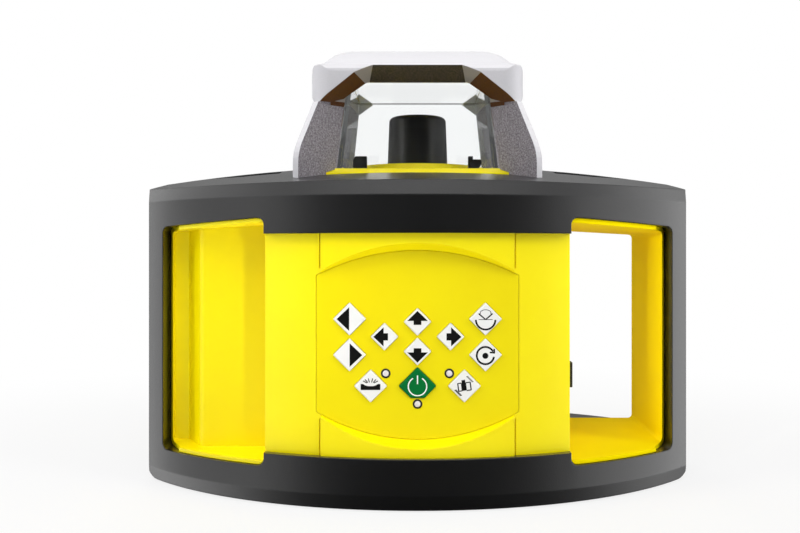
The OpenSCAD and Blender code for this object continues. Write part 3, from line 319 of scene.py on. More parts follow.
# Hard plastic of clips, base, socket and knob, moulded smooth: glossier than the frame.
finish["black_trim"] = grained("black_hard_plastic", "#121211", "#0E0E0D", 0.5, 0.006,
                               (0.3, 0.42), edge_mm=0.4)
# Soft moulded rubber of the flap: dull and a shade greyer, so it looks pliant.
finish["black_rubber"] = grained("black_soft_rubber", "#1D1C1C", "#191818", 0.8, 0.02,
                                 (0.6, 0.72), edge_mm=0.4)
# Satin black paint on the turned rotor head: tight vertical lights.
finish["black_rotor"] = grained("black_satin_paint", "#0C0B08", "#090806", 0.3, 0.002,
                                (0.36, 0.42), edge_mm=0.4, sockets={"Specular IOR Level": 0.3})
# Moulded silicone rubber of the keys: soft, slightly waxy, with no grain to see.
finish["white_key"] = grained("white_silicone_rubber", "#F1F1F0", "#EDEDEC", 0.6, 0.003,
                              (0.45, 0.55), edge_mm=0.2)
# The same rubber dyed through: a deep green with hardly any shine.
finish["green_key"] = grained("green_silicone_rubber", "#037034", "#026A31", 0.6, 0.003,
                              (0.4, 0.5), edge_mm=0.2, sockets={"Specular IOR Level": 0.1})
print("grained finishes", sorted(finish))

# %% [markdown]
# Metals share the grain too, but their tone is the tone of their reflections. Steel and
# brass are brighter than anodised parts, whose dyed oxide swallows most of the light.
# Ferrite and the film round the battery cells are no metals, and reflect like plastics.

# %% Metals
METAL = {"Metallic": 1.0}
# Milled aluminium of chassis, rods and gimbal: bright, with a fine tool sheen.
finish["machined_alloy"] = grained("machined_aluminium", "#C6C8CB", "#BABCC0", 0.25, 0.004,
                                   (0.22, 0.34), edge_mm=0.3, sockets=METAL)
# Anodised barrel: a dark metal with a soft grey light on it.
finish["anodised_alloy"] = grained("black_anodised_aluminium", "#2E2F33", "#27282B", 0.3, 0.003,
                                   (0.32, 0.42), edge_mm=0.3, sockets=METAL)
# Plated screws and spindle: silvery, with the cloudy patches of the zinc.
finish["screw_steel"] = grained("zinc_plated_steel", "#B9BCBF", "#A6A9AC", 0.6, 0.004,
                                (0.24, 0.38), drift_mm=4, edge_mm=0.2, sockets=METAL)
# Drawn cans of the motors and bearings: smooth, even and a little darker.
finish["motor_steel"] = grained("drawn_steel_can", "#A9ACB0", "#9A9DA1", 0.4, 0.003,
                                (0.25, 0.35), edge_mm=0.4, sockets=METAL)
# Turned brass: warm yellow with a tight highlight.
finish["brass_insert"] = grained("turned_brass", "#C9A24A", "#B98F3C", 0.5, 0.004,
                                 (0.2, 0.32), drift_mm=6, edge_mm=0.2, sockets=METAL)
# Sintered ferrite: a dull grey-black ceramic.
finish["magnet_ferrite"] = grained("sintered_ferrite", "#35332F", "#2A2825", 0.5, 0.01,
                                   (0.5, 0.7), edge_mm=0.2)
# Shrunk film round the cells: glossy green and slightly uneven.
finish["cell_sleeve"] = grained("shrunk_pvc_sleeve", "#1D7A45", "#186C3C", 1.2, 0.006,
                                (0.2, 0.3), edge_mm=0.4)
print("metals and fillings", len(finish))

# %% [markdown]
# The motor's winding and the circuit boards have patterns of their own. Wave bands stand for the turns of
# wire, with a painted highlight on each turn and painted shade between them, and bricks with thin joints
# for the runs of copper on a board.

# %% Windings and board
TURN_MM, RUN_MM, WEAVE_MM = 0.25, 9, 0.8
# Enamelled copper wire wound in fine turns a quarter of a millimetre apart: each turn gets a painted
# highlight, with painted shade between turns.
finish["copper_winding"], tree = open_material("enamelled_copper_winding")
place = add(tree, "ShaderNodeTexCoord").outputs["Object"]
turns = add(tree, "ShaderNodeTexWave", {"bands_direction": "Z"},
            {"Vector": place, "Scale": cells(TURN_MM) / (2 * math.pi), "Distortion": 0.6}).outputs["Fac"]
colour = add(tree, "ShaderNodeMix", COLOURS, {0: turns, 6: linear("#6B2E12"), 7: linear("#C9703A")})
relief = add(tree, "ShaderNodeBump", None, {"Distance": 0.05 * MM, "Height": turns})
shader = add(tree, "ShaderNodeBsdfPrincipled", None,
             {"Base Color": colour.outputs[2], "Metallic": 1.0, "Roughness": 0.3, "Normal": relief})
add(tree, "ShaderNodeOutputMaterial", None, {"Surface": shader})

# Glass-fibre board under green resist: the copper runs show as paler lines.
finish["circuit_board"], tree = open_material("resist_coated_board")
place = add(tree, "ShaderNodeTexCoord").outputs["Object"]
runs = add(tree, "ShaderNodeTexBrick", {"offset": 0.4},
           {"Vector": place, "Scale": cells(RUN_MM), "Color1": linear("#1E6A42"),
            "Color2": linear("#1A5E3A"), "Mortar": linear("#3F8C5E"), "Mortar Size": 0.03})
weave = add(tree, "ShaderNodeTexNoise", None, {"Vector": place, "Scale": cells(WEAVE_MM)})
relief = add(tree, "ShaderNodeBump", None, {"Distance": 0.02 * MM, "Height": weave})
shader = add(tree, "ShaderNodeBsdfPrincipled", None,
             {"Base Color": runs, "Roughness": 0.35, "Normal": relief})
add(tree, "ShaderNodeOutputMaterial", None, {"Surface": shader})
print("metals and electrics", len(finish))

# %% [markdown]
# The cage is cast aluminium, bead blasted and pale. Painted light makes its faces that turn
# up lighter and its faces that turn in to the axis nearly white. Painted shade makes the sides
# of the fins dark, with a coarse sparkling grain. The splayed arches get painted shade at the
# crown, a pale facet of painted light, and brown cheeks that are a painted reflection of the
# yellow deck. The level ceiling under the roof is polished. The shader tells these faces apart
# by their direction, so no mask has to be painted.

# %% Cast cage: masks
# The grains of the cast are drawn coarser than real ones, which would vanish at this distance.
CAST_GRAIN_MM = 0.7
# Bead-blasted aluminium: pale and matt, with painted light on faces that turn up or in, and painted shade
# that makes the fin sides and arches dark and sparkling.
finish["cast_alloy"], tree = open_material("bead_blasted_aluminium")
coords = add(tree, "ShaderNodeTexCoord").outputs
grain = add(tree, "ShaderNodeTexNoise", None,
            {"Vector": coords["Object"], "Scale": cells(CAST_GRAIN_MM), "Detail": 3.0, "Roughness": 0.7})
flat = add(tree, "ShaderNodeVectorMath", TIMES, {0: coords["Object"], 1: (1.0, 1.0, 0.0)})
outward = add(tree, "ShaderNodeVectorMath", {"operation": "NORMALIZE"}, {0: flat})
along = add(tree, "ShaderNodeVectorMath", {"operation": "DOT_PRODUCT"},
            {0: coords["Normal"], 1: outward}).outputs["Value"]
across = add(tree, "ShaderNodeMath", {"operation": "ABSOLUTE"}, {0: along})
up = add(tree, "ShaderNodeSeparateXYZ", None, {0: coords["Normal"]}).outputs["Z"]
# Each mask: what it reads, where it is empty and where it is full.
# The masks for faces that turn up and in place painted light; those for fin sides and arches place painted
# shade and painted reflection.
MASKS = {
    "fin_side": (across, 0.62, 0.42),
    "steep": (up, 0.5, 0.3),
    "painted_top_light": (up, 0.1, 0.5),
    "painted_inner_light": (along, -0.6, -0.9),
    "sloped": (up, -0.15, -0.3),
    "cheek": (up, -0.86, -0.82),
    "facet": (up, -0.92, -0.9),
    "tilted": (up, -0.97, -0.93),
    "ceiling": (up, -0.97, -0.99),
    "spark": (grain, 0.38, 0.66),
}
mask = {}
for name, (source, start, end) in MASKS.items():
    mask[name] = add(tree, "ShaderNodeMapRange", None,
                     {"Value": source, "From Min": start, "From Max": end})
side = add(tree, "ShaderNodeMath", TIMES, {0: mask["fin_side"], 1: mask["steep"]})
mask["under"] = add(tree, "ShaderNodeMath", TIMES, {0: mask["sloped"], 1: mask["tilted"]})
mask["dark"] = add(tree, "ShaderNodeMath", LARGER, {0: side, 1: mask["under"]})
print("cage masks", sorted(mask))

# %% Cast cage: tones and relief
# Each layer: its name, its mask, and the colour or earlier layer below the mask and above it.
LAYERS = (
    # The first two rows lay painted light on the pale metal: lighter on faces that turn up, nearly white on
    # faces that turn in to the axis.
    ("blasted", "painted_top_light", "#C2C1C5", "#D6D5D8"), ("pale_with_painted_light", "painted_inner_light", "blasted", "#FAFCFB"),
    # The fin sides get a dark sparkling tone of painted shade, and the arch crowns get painted shade.
    ("painted_fin_shade", "spark", "#5E5A5F", "#A09BA1"), ("shade", "spark", "#2C251B", "#54452F"),
    # The brown cheeks are a painted reflection of the yellow deck, and the pale facet beside the crown is
    # painted light.
    ("painted_deck_reflection", "spark", "#4E2E0E", "#72461A"), ("crown", "facet", "shade", "#B4AFB4"),
    ("arch", "cheek", "crown", "painted_deck_reflection"), ("painted_shade_faces", "under", "painted_fin_shade", "arch"),
    ("cast", "dark", "pale_with_painted_light", "painted_shade_faces"), ("whole", "ceiling", "cast", "#FBFBFB"),
)
BLASTED_METAL, POLISHED_ROUGH = 0.4, 0.06
layer = {}
for name, share, below, above in LAYERS:
    low, high = [layer[tone] if tone in layer else linear(tone) for tone in (below, above)]
    layer[name] = add(tree, "ShaderNodeMix", COLOURS, {0: mask[share], 6: low, 7: high}).outputs[2]
blasted = add(tree, "ShaderNodeMapRange", None,
              {"Value": grain, "From Min": 0.3, "From Max": 0.7, "To Min": 0.6, "To Max": 0.75})
rough = add(tree, "ShaderNodeMix", None, {0: mask["ceiling"], 2: blasted, 3: POLISHED_ROUGH})
bare = add(tree, "ShaderNodeMapRange", None, {"Value": mask["ceiling"], "To Min": BLASTED_METAL})
grainy = add(tree, "ShaderNodeMath", MINUS, {0: 1.0, 1: mask["ceiling"]})
edge = add(tree, "ShaderNodeBevel", {"samples": 6}, {"Radius": 0.4 * MM})
relief = add(tree, "ShaderNodeBump", None,
             {"Strength": grainy, "Distance": 0.06 * MM, "Height": grain, "Normal": edge})
shader = add(tree, "ShaderNodeBsdfPrincipled", None,
             {"Base Color": layer["whole"], "Metallic": bare, "Roughness": rough, "Normal": relief})
add(tree, "ShaderNodeOutputMaterial", None, {"Surface": shader})
print("cage finish nodes", len(tree.nodes))

# %% [markdown]
# The panes are float glass, and the lens, prism, disc and beam window are crown glass. Both
# are clear: their tint is so faint that only light which runs along a sheet would show it.
# A slow ripple of a micrometre or two keeps reflections alive.

# %% Glass
def clear(name, tint, ripple_mm, relief_mm, rough, index):
    """Clear finish with a slow ripple on its surface."""
    material, tree = open_material(name)
    place = add(tree, "ShaderNodeTexCoord").outputs["Object"]
    ripple = add(tree, "ShaderNodeTexNoise", None, {"Vector": place, "Scale": cells(ripple_mm)})
    relief = add(tree, "ShaderNodeBump", None, {"Distance": relief_mm * MM, "Height": ripple})
    shader = add(tree, "ShaderNodeBsdfPrincipled", None,
                 {"Base Color": linear(tint), "Transmission Weight": 1.0, "Roughness": rough,
                  "IOR": index, "Normal": relief})
    add(tree, "ShaderNodeOutputMaterial", None, {"Surface": shader})
    return material


# Float glass: all but invisible from the front, so that the rotor shows through it.
finish["pane_glass"] = clear("float_glass", "#FEFFFF", 40, 0.002, 0.0, 1.45)
# Polished crown glass: clear too, and it bends what is seen through it more.
finish["optical_glass"] = clear("polished_crown_glass", "#F6FAFA", 25, 0.001, 0.0, 1.52)
# Milky epoxy of the indicators: it scatters the light that falls in, so it looks pale.
finish["led_lens"] = grained("milky_epoxy_lens", "#F2ECEE", "#E6E0E2", 0.8, 0.006, (0.16, 0.24),
                             drift_mm=1.5, edge_mm=0.1, sockets={"Coat Weight": 0.4})
print("finishes", len(finish))

# %% [markdown]
# Each CAD node carries the name of its finish in its material slot, so a loop can dress them
# all. Only the sleeve in the grip gets another one than it asks for, because its texture
# is coarser than that of the body.

# %% Dress the CAD nodes
dressed = 0
for name, part in nodes.items():
    slot_name = part.material_slots[0].name.split(".")[0]
    if name == "grip_liner":
        slot_name = "yellow_sleeve"
    if slot_name in finish:
        for place in part.material_slots:
            place.material = finish[slot_name]
        dressed += 1
    else:
        print("no finish for", name, slot_name)
print("dressed", dressed, "of", len(nodes))

# %% [markdown]
# New pieces are meshes built from outlines. An outline is a list of points in the plane of
# the keypad, X to the right and Z up, and a loft joins rings of such points at different
# depths. The key caps, their printed signs and the lamp lenses all use these helpers.

# %% Helpers for outlines and lofts
def rounded(corners, radius, steps=6):
    """Closed outline with every corner turned into an arc."""
    out = []
    count = len(corners)
    for i, b in enumerate(corners):
        a, c = Vector(corners[i - 1]), Vector(corners[(i + 1) % count])
        b = Vector(b)
        u, w = (a - b).normalized(), (c - b).normalized()
        half = u.angle(w) / 2
        centre = b + (u + w).normalized() * radius / math.sin(half)
        first = (b + u * radius / math.tan(half) - centre).normalized()
        last = (b + w * radius / math.tan(half) - centre).normalized()
        out += [centre + first.slerp(last, k / steps) * radius for k in range(steps + 1)]
    return out


def piece(name, bm, material, body):
    """Turns a bmesh into a finished piece that rides on a body."""
    bmesh.ops.remove_doubles(bm, verts=bm.verts, dist=1e-7)
    bmesh.ops.recalc_face_normals(bm, faces=bm.faces)
    mesh = bpy.data.meshes.new(name)
    bm.to_mesh(mesh)
    bm.free()
    mesh.materials.append(material)
    obj = bpy.data.objects.new(name, mesh)
    scene.collection.objects.link(obj)
    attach(obj, body)
    return obj


def smooth_sides(obj):
    """Soft shading on the four-sided faces, which leaves the flat ends sharp."""
    for face in obj.data.polygons:
        face.use_smooth = len(face.vertices) == 4


def band(bm, low, high):
    """Faces between two closed rows of points."""
    count = len(low)
    for i in range(count):
        j = (i + 1) % count
        bm.faces.new((low[i], low[j], high[j], high[i]))


def loft(bm, rings):
    """Skin through rings of points that have the same count, closed at both ends."""
    rows = [[bm.verts.new(p) for p in ring] for ring in rings]
    for low, high in zip(rows, rows[1:]):
        band(bm, low, high)
    bm.faces.new(rows[0])
    bm.faces.new(rows[-1])


def ring_points(centre, radius, depth, steps=28):
    """Circle in the plane of the panel."""
    return [(centre[0] + radius * math.cos(t), depth, centre[1] + radius * math.sin(t))
            for t in [2 * math.pi * k / steps for k in range(steps)]]


print("square with rounded corners:", len(rounded([(1, 1), (-1, 1), (-1, -1), (1, -1)], 0.2)), "points")

# %% [markdown]
# The keys are moulded in one silicone mat and stand through diamond holes in the panel.
# Their edges are round, because rubber does not leave a mould sharp. Each cap replaces its
# plain CAD node: a stack of diamond rings, drawn in along a quarter circle at the front,
# with the round nub behind it that presses the switch.

# %% Key caps
KEY_EDGE = 0.55 * MM
KEY_CORNER, LEAST_CORNER = 0.35 * MM, 0.15 * MM
CAP_STEPS = 5
NUB_R, NUB_LONG = 1.6 * MM, 1 * MM
CUT_SHARE = 0.9


def key_outline(half, foot, inset):
    """Diamond of half diagonal half, drawn in by inset and cut level at foot if foot is short."""
    size = half - inset * math.sqrt(2)
    level = foot - inset
    corners = [(size, 0), (0, size), (-size, 0)]
    if foot < CUT_SHARE * half:
        corners += [(level - size, -level), (size - level, -level)]
    else:
        corners += [(0, -size)]
    return rounded(corners, max(KEY_CORNER - inset, LEAST_CORNER))


key_names = ["power", "up", "down", "left", "right", "scan_left", "scan_right", "scan_angle",
             "speed", "beam", "tilt"]
key_place = {}
for name in key_names:
    low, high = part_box("button_" + name)
    half = (high.x - low.x) / 2
    centre = Vector(((low.x + high.x) / 2, low.y, high.z - half))
    foot = centre.z - low.z
    key_place[name] = centre
    back = high.y - NUB_LONG
    turns = [k / CAP_STEPS * math.pi / 2 for k in range(CAP_STEPS + 1)]
    rows = [(0, back)] + [(KEY_EDGE * (1 - math.cos(t)), low.y + KEY_EDGE * (1 - math.sin(t)))
                          for t in turns]
    bm = bmesh.new()
    loft(bm, [[(centre.x + p.x, depth, centre.z + p.y) for p in key_outline(half, foot, inset)]
              for inset, depth in rows])
    loft(bm, [ring_points((centre.x, centre.z), NUB_R, depth) for depth in (back - NUB_LONG / 2, high.y)])
    tone = "green_key" if name == "power" else "white_key"
    cap = piece("cap_" + name, bm, finish[tone], "key_" + name)
    smooth_sides(cap)
    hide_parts("button_" + name)
print("key caps", len(key_place))

# %% [markdown]
# The signs on the keys are printed in black, and in white on the green key. They are drawn
# from a few flat shapes: polygons, bars and arcs, each given the thickness of a pad-printed
# ink. A sign rides on its key and moves in with it.

# %% Helpers for printed signs
def bar(start, end, wide):
    """Straight stroke."""
    a, b = Vector(start), Vector(end)
    side = (b - a).orthogonal().normalized() * wide / 2
    return [a + side, a - side, b - side, b + side]


def arc(centre, radius, wide, first, last, steps=28):
    """Curved stroke from the first to the last angle, in degrees."""
    angles = [math.radians(first + (last - first) * k / steps) for k in range(steps + 1)]
    c = Vector(centre)
    outer = [c + Vector((math.cos(t), math.sin(t))) * (radius + wide / 2) for t in angles]
    inner = [c + Vector((math.cos(t), math.sin(t))) * (radius - wide / 2) for t in reversed(angles)]
    return outer + inner


def disc(centre, radius, steps=32):
    """Filled circle."""
    return [Vector(centre) + Vector((math.cos(t), math.sin(t))) * radius
            for t in [2 * math.pi * k / steps for k in range(steps)]]


HATCH_STEP, HATCH_COUNT = 0.42, 6


def hatch(start, end, wide):
    """Short strokes side by side, stepping down to the right."""
    return [bar((start[0] + shift, start[1] - shift), (end[0] + shift, end[1] - shift), wide)
            for shift in [HATCH_STEP * k for k in range(HATCH_COUNT)]]


INK_PROUD = 0.03 * MM
INK_DEEP = 0.12 * MM


def printed(name, shapes, centre, right, outward, material, body):
    """Thin printed sign from flat shapes, in millimetres from centre along right and up."""
    bm = bmesh.new()
    right, outward = Vector(right), Vector(outward)
    for shape in shapes:
        flat = [centre + right * p[0] * MM + Vector((0, 0, p[1] * MM)) for p in shape]
        loft(bm, [[p + outward * lift for p in flat] for lift in (-INK_DEEP, INK_PROUD)])
    return piece(name, bm, material, body)


# Pad-printed ink: flat and matt, so that a sign reads from every side.
MATT = {"Specular IOR Level": 0.15}
black_ink = grained("black_pad_print_ink", "#0A0A0A", "#070707", 0.4, 0.002, (0.55, 0.65),
                    edge_mm=0.05, sockets=MATT)
white_ink = grained("white_pad_print_ink", "#F6F8F6", "#EEF2EE", 0.4, 0.002, (0.55, 0.65),
                    edge_mm=0.05, sockets=MATT)
print("strokes ready, ink", INK_PROUD / MM, "mm proud")

# %% [markdown]
# Each sign is named for its key: triangles for the scan to either side, four arrows, a half
# circle for the scan angle, a ring with a dot for the speed, a lamp with rays for the beam,
# a slanted block for the tilt, and a broken ring for the power. Points and widths are in
# millimetres from the middle of the key, so a sign can be measured like a drawing.

# %% Printed signs
RAY_ANGLES = [math.radians(angle) for angle in (-70, -44, -16, 16, 44, 70)]
signs = {
    "scan_left": [[(-5.35, 0), (-0.1, 4.95), (-0.1, -4.95)]],
    "scan_right": [[(5.35, 0), (0.1, -4.95), (0.1, 4.95)]],
    "up": [[(0, 4.6), (-4.3, 0.45), (4.3, 0.45)],
           [(-1.6, 0.5), (-1.6, -1.2), (1.6, -1.2), (1.6, 0.5)]],
    "down": [[(0, -4.5), (4.3, -0.3), (-4.3, -0.3)],
             [(-1.6, 1.45), (-1.6, -0.35), (1.6, -0.35), (1.6, 1.45)]],
    "left": [[(-4.6, 0), (-0.35, -4), (-0.35, 4)],
             [(-0.4, -1.5), (1.5, -1.5), (1.5, 1.5), (-0.4, 1.5)]],
    "right": [[(4.5, 0), (0.2, 4), (0.2, -4)],
              [(-1.7, -1.5), (0.25, -1.5), (0.25, 1.5), (-1.7, 1.5)]],
    "scan_angle": [arc((0, -0.3), 4.05, 0.75, 180, 360), bar((-2.9, 2.3), (0, -0.2), 0.55),
                   bar((2.9, 2.3), (0, -0.2), 0.55), bar((-2.9, -0.2), (2.9, -0.2), 0.26),
                   arc((0, 0.6), 3.3, 0.28, 50, 130), bar((2.1, 3.1), (2.25, 2.1), 0.28),
                   bar((-2.1, 3.1), (-2.25, 2.1), 0.28)],
    "speed": [arc((-0.1, -0.2), 3.6, 0.8, 28, 352), bar((3.6, 2.6), (3.6, 0.9), 0.65),
              bar((3.9, 0.95), (1.7, 1.1), 0.65), disc((-0.1, -0.3), 1.25)],
    "beam": [[(-4.1, -1.55), (4.1, -1.55), (4.1, 0.95), (3.1, 0.95), (2.3, 0.4), (1.1, 0.05),
              (-1.1, 0.05), (-2.3, 0.4), (-3.1, 0.95), (-4.1, 0.95)],
             *[bar((1.6 * math.sin(t), 1.3 + 0.3 * math.cos(t)),
                   (3.3 * math.sin(t), 1.7 + 1.6 * math.cos(t)), 0.4) for t in RAY_ANGLES]],
    "tilt": [[(-1.15, -2.0), (1.0, -1.65), (0.6, 1.55), (0.35, 1.5), (0.2, 2.75), (-1.3, 2.5),
              (-1.15, 1.3), (-1.5, 1.2)],
             bar((-2.85, 1.2), (-2.4, -2.2), 0.5), bar((-2.85, 1.1), (-1.3, 1.3), 0.45),
             bar((-2.4, -2.1), (-1.0, -1.9), 0.45), bar((2.35, 1.75), (2.8, -1.6), 0.5),
             bar((0.5, 1.5), (2.35, 1.75), 0.45), bar((0.9, -1.75), (2.8, -1.5), 0.45),
             *hatch((0.75, 4.0), (1.6, 4.05), 0.3), *hatch((-4.15, -1.75), (-3.2, -1.6), 0.42)],
    "power": [arc((0, -0.1), 3.85, 0.5, 119, 421), bar((0, 0.9), (0, 4.5), 0.5)],
}
for name, shapes in signs.items():
    ink = white_ink if name == "power" else black_ink
    printed("sign_" + name, shapes, key_place[name], (1, 0, 0), (0, -1, 0), ink, "key_" + name)
print("signs", len(signs))

# %% [markdown]
# Three more marks help the hand at the back and the side: a pointer on the knob that locks
# the battery cassette, a closed and an open padlock where the pointer stops, and a flash on
# the flap over the charging socket. They are printed like the keys.

# %% Marks on the knob, the cassette and the flap
KNOB_HIGH = 6 * MM
SHUT_UP, OPEN_RIGHT = 13.6, 14
OPEN_SWING = 1.9
FLASH_SHARE = 0.45
low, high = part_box("lock_knob")
hub = Vector(((low.x + high.x) / 2, high.y, (low.z + high.z) / 2))
printed("knob_pointer", [bar((0, 4), (0, 8.4), 1.1)], hub, (1, 0, 0), (0, 1, 0), white_ink, "knob")


def padlock(x, z, swing):
    """Small padlock; swing moves one end of its hoop out of the body."""
    hoop = x + swing
    free_end = z + (0.3 if swing == 0 else 0.7)
    return [[(x - 1.5, z - 1.9), (x + 1.5, z - 1.9), (x + 1.5, z + 0.4), (x - 1.5, z + 0.4)],
            arc((hoop, z + 0.9), 0.95, 0.45, 0, 180),
            bar((hoop - 0.95, z + 0.3), (hoop - 0.95, z + 0.95), 0.45),
            bar((hoop + 0.95, free_end), (hoop + 0.95, z + 0.95), 0.45)]


seat = hub - Vector((0, KNOB_HIGH, 0))
printed("cassette_marks", padlock(0, SHUT_UP, 0) + padlock(OPEN_RIGHT, 0, OPEN_SWING), seat,
        (1, 0, 0), (0, 1, 0), black_ink, "cassette")
low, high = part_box("charge_cover")
leaf = Vector((high.x, low.y + (high.y - low.y) * FLASH_SHARE, (low.z + high.z) / 2))
flash = [[(0.5, 3.4), (-1.9, -0.5), (-0.2, -0.5)], [(-0.5, -3.4), (1.9, 0.5), (0.2, 0.5)],
         [(-0.2, -0.5), (0.2, 0.5), (0.45, 0.5), (0.45, -0.5)]]
printed("flap_flash", flash, leaf, (0, 1, 0), (1, 0, 0), white_ink, "flap")

# %% [markdown]
# Three indicator lamps sit between the keys. Each is a milky domed lens in a dark ring, at
# the end of a light pipe from the board behind the panel. A dome is a lathe shape, so its
# rings are circles that close up along a quarter of an ellipse.

# %% Indicator lenses
LENS_R, LENS_DOME, DOME_STEPS = 1.3 * MM, 0.38 * MM, 5
LENS_OUT = 1.9 * MM
RING_GAP, RING_CROWN, RING_R, RING_DEEP = 0.05 * MM, 1.9 * MM, 1.98 * MM, 0.6 * MM
# Radius of the dark ring and depth behind the panel's face, round its section.
COLLAR = [(LENS_R + RING_GAP, RING_DEEP), (LENS_R + RING_GAP, -0.12 * MM), (LENS_R + 0.2 * MM, -0.2 * MM),
          (RING_CROWN, -0.14 * MM), (RING_R, 0.0), (RING_R, RING_DEEP)]
lens_low, lens_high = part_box("led_lenses")
panel_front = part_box("keypad_panel")[0].y
side_x, side_z, low_z = lens_high.x - LENS_OUT, lens_high.z - LENS_OUT, lens_low.z + LENS_OUT
LENS_PLACES = [(-side_x, side_z), (side_x, side_z), (0, low_z)]
lens_bm, ring_bm = bmesh.new(), bmesh.new()
for spot in LENS_PLACES:
    dome = [ring_points(spot, LENS_R * math.cos(t), panel_front - LENS_DOME * math.sin(t))
            for t in [k / DOME_STEPS * math.pi / 2 for k in range(DOME_STEPS)]]
    loft(lens_bm, [ring_points(spot, LENS_R, lens_high.y)] + dome)
    rows = [[ring_bm.verts.new(p) for p in ring_points(spot, radius, panel_front + depth)]
            for radius, depth in COLLAR]
    for low, high in zip(rows, rows[1:] + rows[:1]):
        band(ring_bm, low, high)
lenses = piece("indicator_lenses", lens_bm, finish["led_lens"], "housing")
smooth_sides(lenses)
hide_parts("led_lenses")
piece("indicator_rings", ring_bm, finish["black_trim"], "housing")
print("lenses", len(LENS_PLACES))

# %% [markdown]
# Screws repeat, so Geometry Nodes make them: a head, a shank and a six-sided socket are
# cut once and placed on every point of a small mesh. The sizes are inputs of the tree, and
# the result is turned into one plain mesh, because the export keeps no instances.

# %% Screw tree
CROWN_SHARE, KEY_SHARE, SOCKET_RISE = 0.84, 0.46, 0.9


def open_tree(name, sizes, places):
    """Geometry Nodes tree with named inputs, and the sockets that carry them."""
    tree = bpy.data.node_groups.new(name, "GeometryNodeTree")
    rows = [("Geometry", "NodeSocketGeometry"), ("Finish", "NodeSocketMaterial")]
    rows += [(label, "NodeSocketFloat") for label in sizes]
    rows += [(label, "NodeSocketVector") for label in places]
    for label, kind in rows:
        tree.interface.new_socket(label, in_out="INPUT", socket_type=kind)
    tree.interface.new_socket("Geometry", in_out="OUTPUT", socket_type="NodeSocketGeometry")
    return tree, add(tree, "NodeGroupInput").outputs


def screw_tree():
    """Socket screws on every point of the mesh, heads along the turned Z axis."""
    sizes = ("Head radius", "Head height", "Shank radius", "Shank length")
    tree, given = open_tree("socket_screws", sizes, ("Turn",))
    crown = add(tree, "ShaderNodeMath", TIMES, {0: given["Head radius"], 1: CROWN_SHARE})
    head = add(tree, "GeometryNodeMeshCone", None,
               {"Vertices": 40, "Radius Top": crown, "Radius Bottom": given["Head radius"],
                "Depth": given["Head height"]})
    shank = add(tree, "GeometryNodeMeshCylinder", None,
                {"Vertices": 24, "Radius": given["Shank radius"], "Depth": given["Shank length"]})
    half = add(tree, "ShaderNodeMath", TIMES, {0: given["Shank length"], 1: -0.5})
    drop = add(tree, "ShaderNodeCombineXYZ", None, {"Z": half})
    under = add(tree, "GeometryNodeTransform", None, {"Geometry": shank, "Translation": drop})
    key = add(tree, "ShaderNodeMath", TIMES, {0: given["Head radius"], 1: KEY_SHARE})
    socket = add(tree, "GeometryNodeMeshCylinder", None,
                 {"Vertices": 6, "Radius": key, "Depth": given["Head height"]})
    rise = add(tree, "ShaderNodeMath", TIMES, {0: given["Head height"], 1: SOCKET_RISE})
    lift = add(tree, "ShaderNodeCombineXYZ", None, {"Z": rise})
    over = add(tree, "GeometryNodeTransform", None, {"Geometry": socket, "Translation": lift})
    cut = add(tree, "GeometryNodeMeshBoolean", {"operation": "DIFFERENCE"}, {0: head, 1: over})
    whole = add(tree, "GeometryNodeJoinGeometry", None, {0: cut})
    tree.links.new(under.outputs[0], whole.inputs[0])
    aim = add(tree, "FunctionNodeEulerToRotation", None, {0: given["Turn"]})
    placed = add(tree, "GeometryNodeInstanceOnPoints", None,
                 {"Points": given["Geometry"], "Instance": whole, "Rotation": aim})
    real = add(tree, "GeometryNodeRealizeInstances", None, {0: placed})
    named = add(tree, "GeometryNodeSetMaterial", None, {0: real, "Material": given["Finish"]})
    add(tree, "NodeGroupOutput", None, {0: named})
    return tree


def run_tree(name, points, tree, values):
    """Plain mesh object from a Geometry Nodes tree on points, with its named inputs set."""
    mesh = bpy.data.meshes.new(name + "_points")
    mesh.from_pydata(points, [], [])
    maker = bpy.data.objects.new(name + "_maker", mesh)
    scene.collection.objects.link(maker)
    modifier = maker.modifiers.new("tree", "NODES")
    modifier.node_group = tree
    for item in tree.interface.items_tree:
        if item.in_out == "INPUT" and item.name in values:
            modifier[item.identifier] = values[item.name]
    bpy.context.view_layer.update()
    made = maker.evaluated_get(bpy.context.evaluated_depsgraph_get())
    result = bpy.data.meshes.new_from_object(made)
    maker.modifiers.remove(modifier)
    bpy.data.objects.remove(maker)
    obj = bpy.data.objects.new(name, result)
    scene.collection.objects.link(obj)
    return obj


screws = screw_tree()
print("inputs", [i.name for i in screws.interface.items_tree if i.in_out == "INPUT"])

# %% [markdown]
# Four screws hold the base, heads down, and four join the halves of the frame from behind.
# Their places are read from the boxes of the CAD nodes that they replace.

# %% Base and frame screws
HEAD_R, HEAD_H, SHANK_R = 4 * MM, 2.4 * MM, 2 * MM


def screw_set(node, points, turn, length):
    """Screws that replace a CAD node, on points at the feet of their heads."""
    obj = run_tree(node + "_socket", points, screws,
                   {"Head radius": HEAD_R, "Head height": HEAD_H, "Shank radius": SHANK_R,
                    "Shank length": length, "Turn": turn, "Finish": finish["screw_steel"]})
    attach(obj, "housing")
    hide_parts(node)


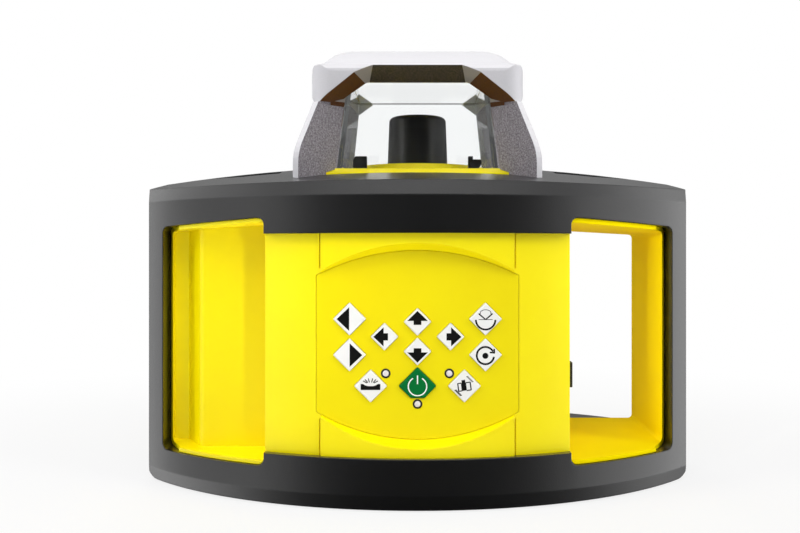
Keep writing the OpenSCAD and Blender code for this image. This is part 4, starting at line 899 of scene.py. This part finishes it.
low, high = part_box("base_screws")
reach = high.x - HEAD_R
base_points = [(sx * reach, sy * reach, low.z + HEAD_H) for sx in (-1, 1) for sy in (-1, 1)]
screw_set("base_screws", base_points, (math.pi, 0, 0), high.z - low.z - HEAD_H)
low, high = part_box("frame_screws")
side, foot_row, head_row = high.x - HEAD_R, low.z + HEAD_R, high.z - HEAD_R
frame_points = [(sx * side, high.y - HEAD_H, z) for sx in (-1, 1) for z in (foot_row, head_row)]
screw_set("frame_screws", frame_points, (-math.pi / 2, 0, 0), high.y - low.y - HEAD_H)
print("screws", len(base_points) + len(frame_points))

# %% [markdown]
# The tripod screw goes into a brass insert with a coarse thread of eleven turns to the
# inch. A thread is a three-sided ridge wound on a helix, so a spiral curve with a triangle
# as its profile makes it.

# %% Tripod thread
THREAD_PITCH = 25.4 / 11 * MM
THREAD_LONG, THREAD_R = 13.2 * MM, 7.94 * MM
THREAD_START, THREAD_RIDGE = 1.2 * MM, 0.95 * MM


def thread_tree():
    """Ridge of triangular section wound on a helix."""
    tree, given = open_tree("thread_ridge", ("Radius", "Turns", "Length", "Ridge"), ("Start",))
    helix = add(tree, "GeometryNodeCurveSpiral", None,
                {"Resolution": 40, "Rotations": given["Turns"], "Start Radius": given["Radius"],
                 "End Radius": given["Radius"], "Height": given["Length"]})
    lifted = add(tree, "GeometryNodeTransform", None, {"Geometry": helix, "Translation": given["Start"]})
    section = add(tree, "GeometryNodeCurvePrimitiveCircle", None,
                  {"Resolution": 3, "Radius": given["Ridge"]})
    swept = add(tree, "GeometryNodeCurveToMesh", None,
                {0: lifted, "Profile Curve": section, "Fill Caps": True})
    real = add(tree, "GeometryNodeRealizeInstances", None, {0: swept})
    named = add(tree, "GeometryNodeSetMaterial", None, {0: real, "Material": given["Finish"]})
    add(tree, "NodeGroupOutput", None, {0: named})
    return tree


thread = run_tree("tripod_thread", [(0, 0, 0)], thread_tree(),
                  {"Radius": THREAD_R, "Turns": THREAD_LONG / THREAD_PITCH, "Length": THREAD_LONG,
                   "Start": (0, 0, THREAD_START), "Ridge": THREAD_RIDGE, "Finish": finish["brass_insert"]})
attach(thread, "housing")
print("thread triangles", len(thread.data.polygons) * 2)
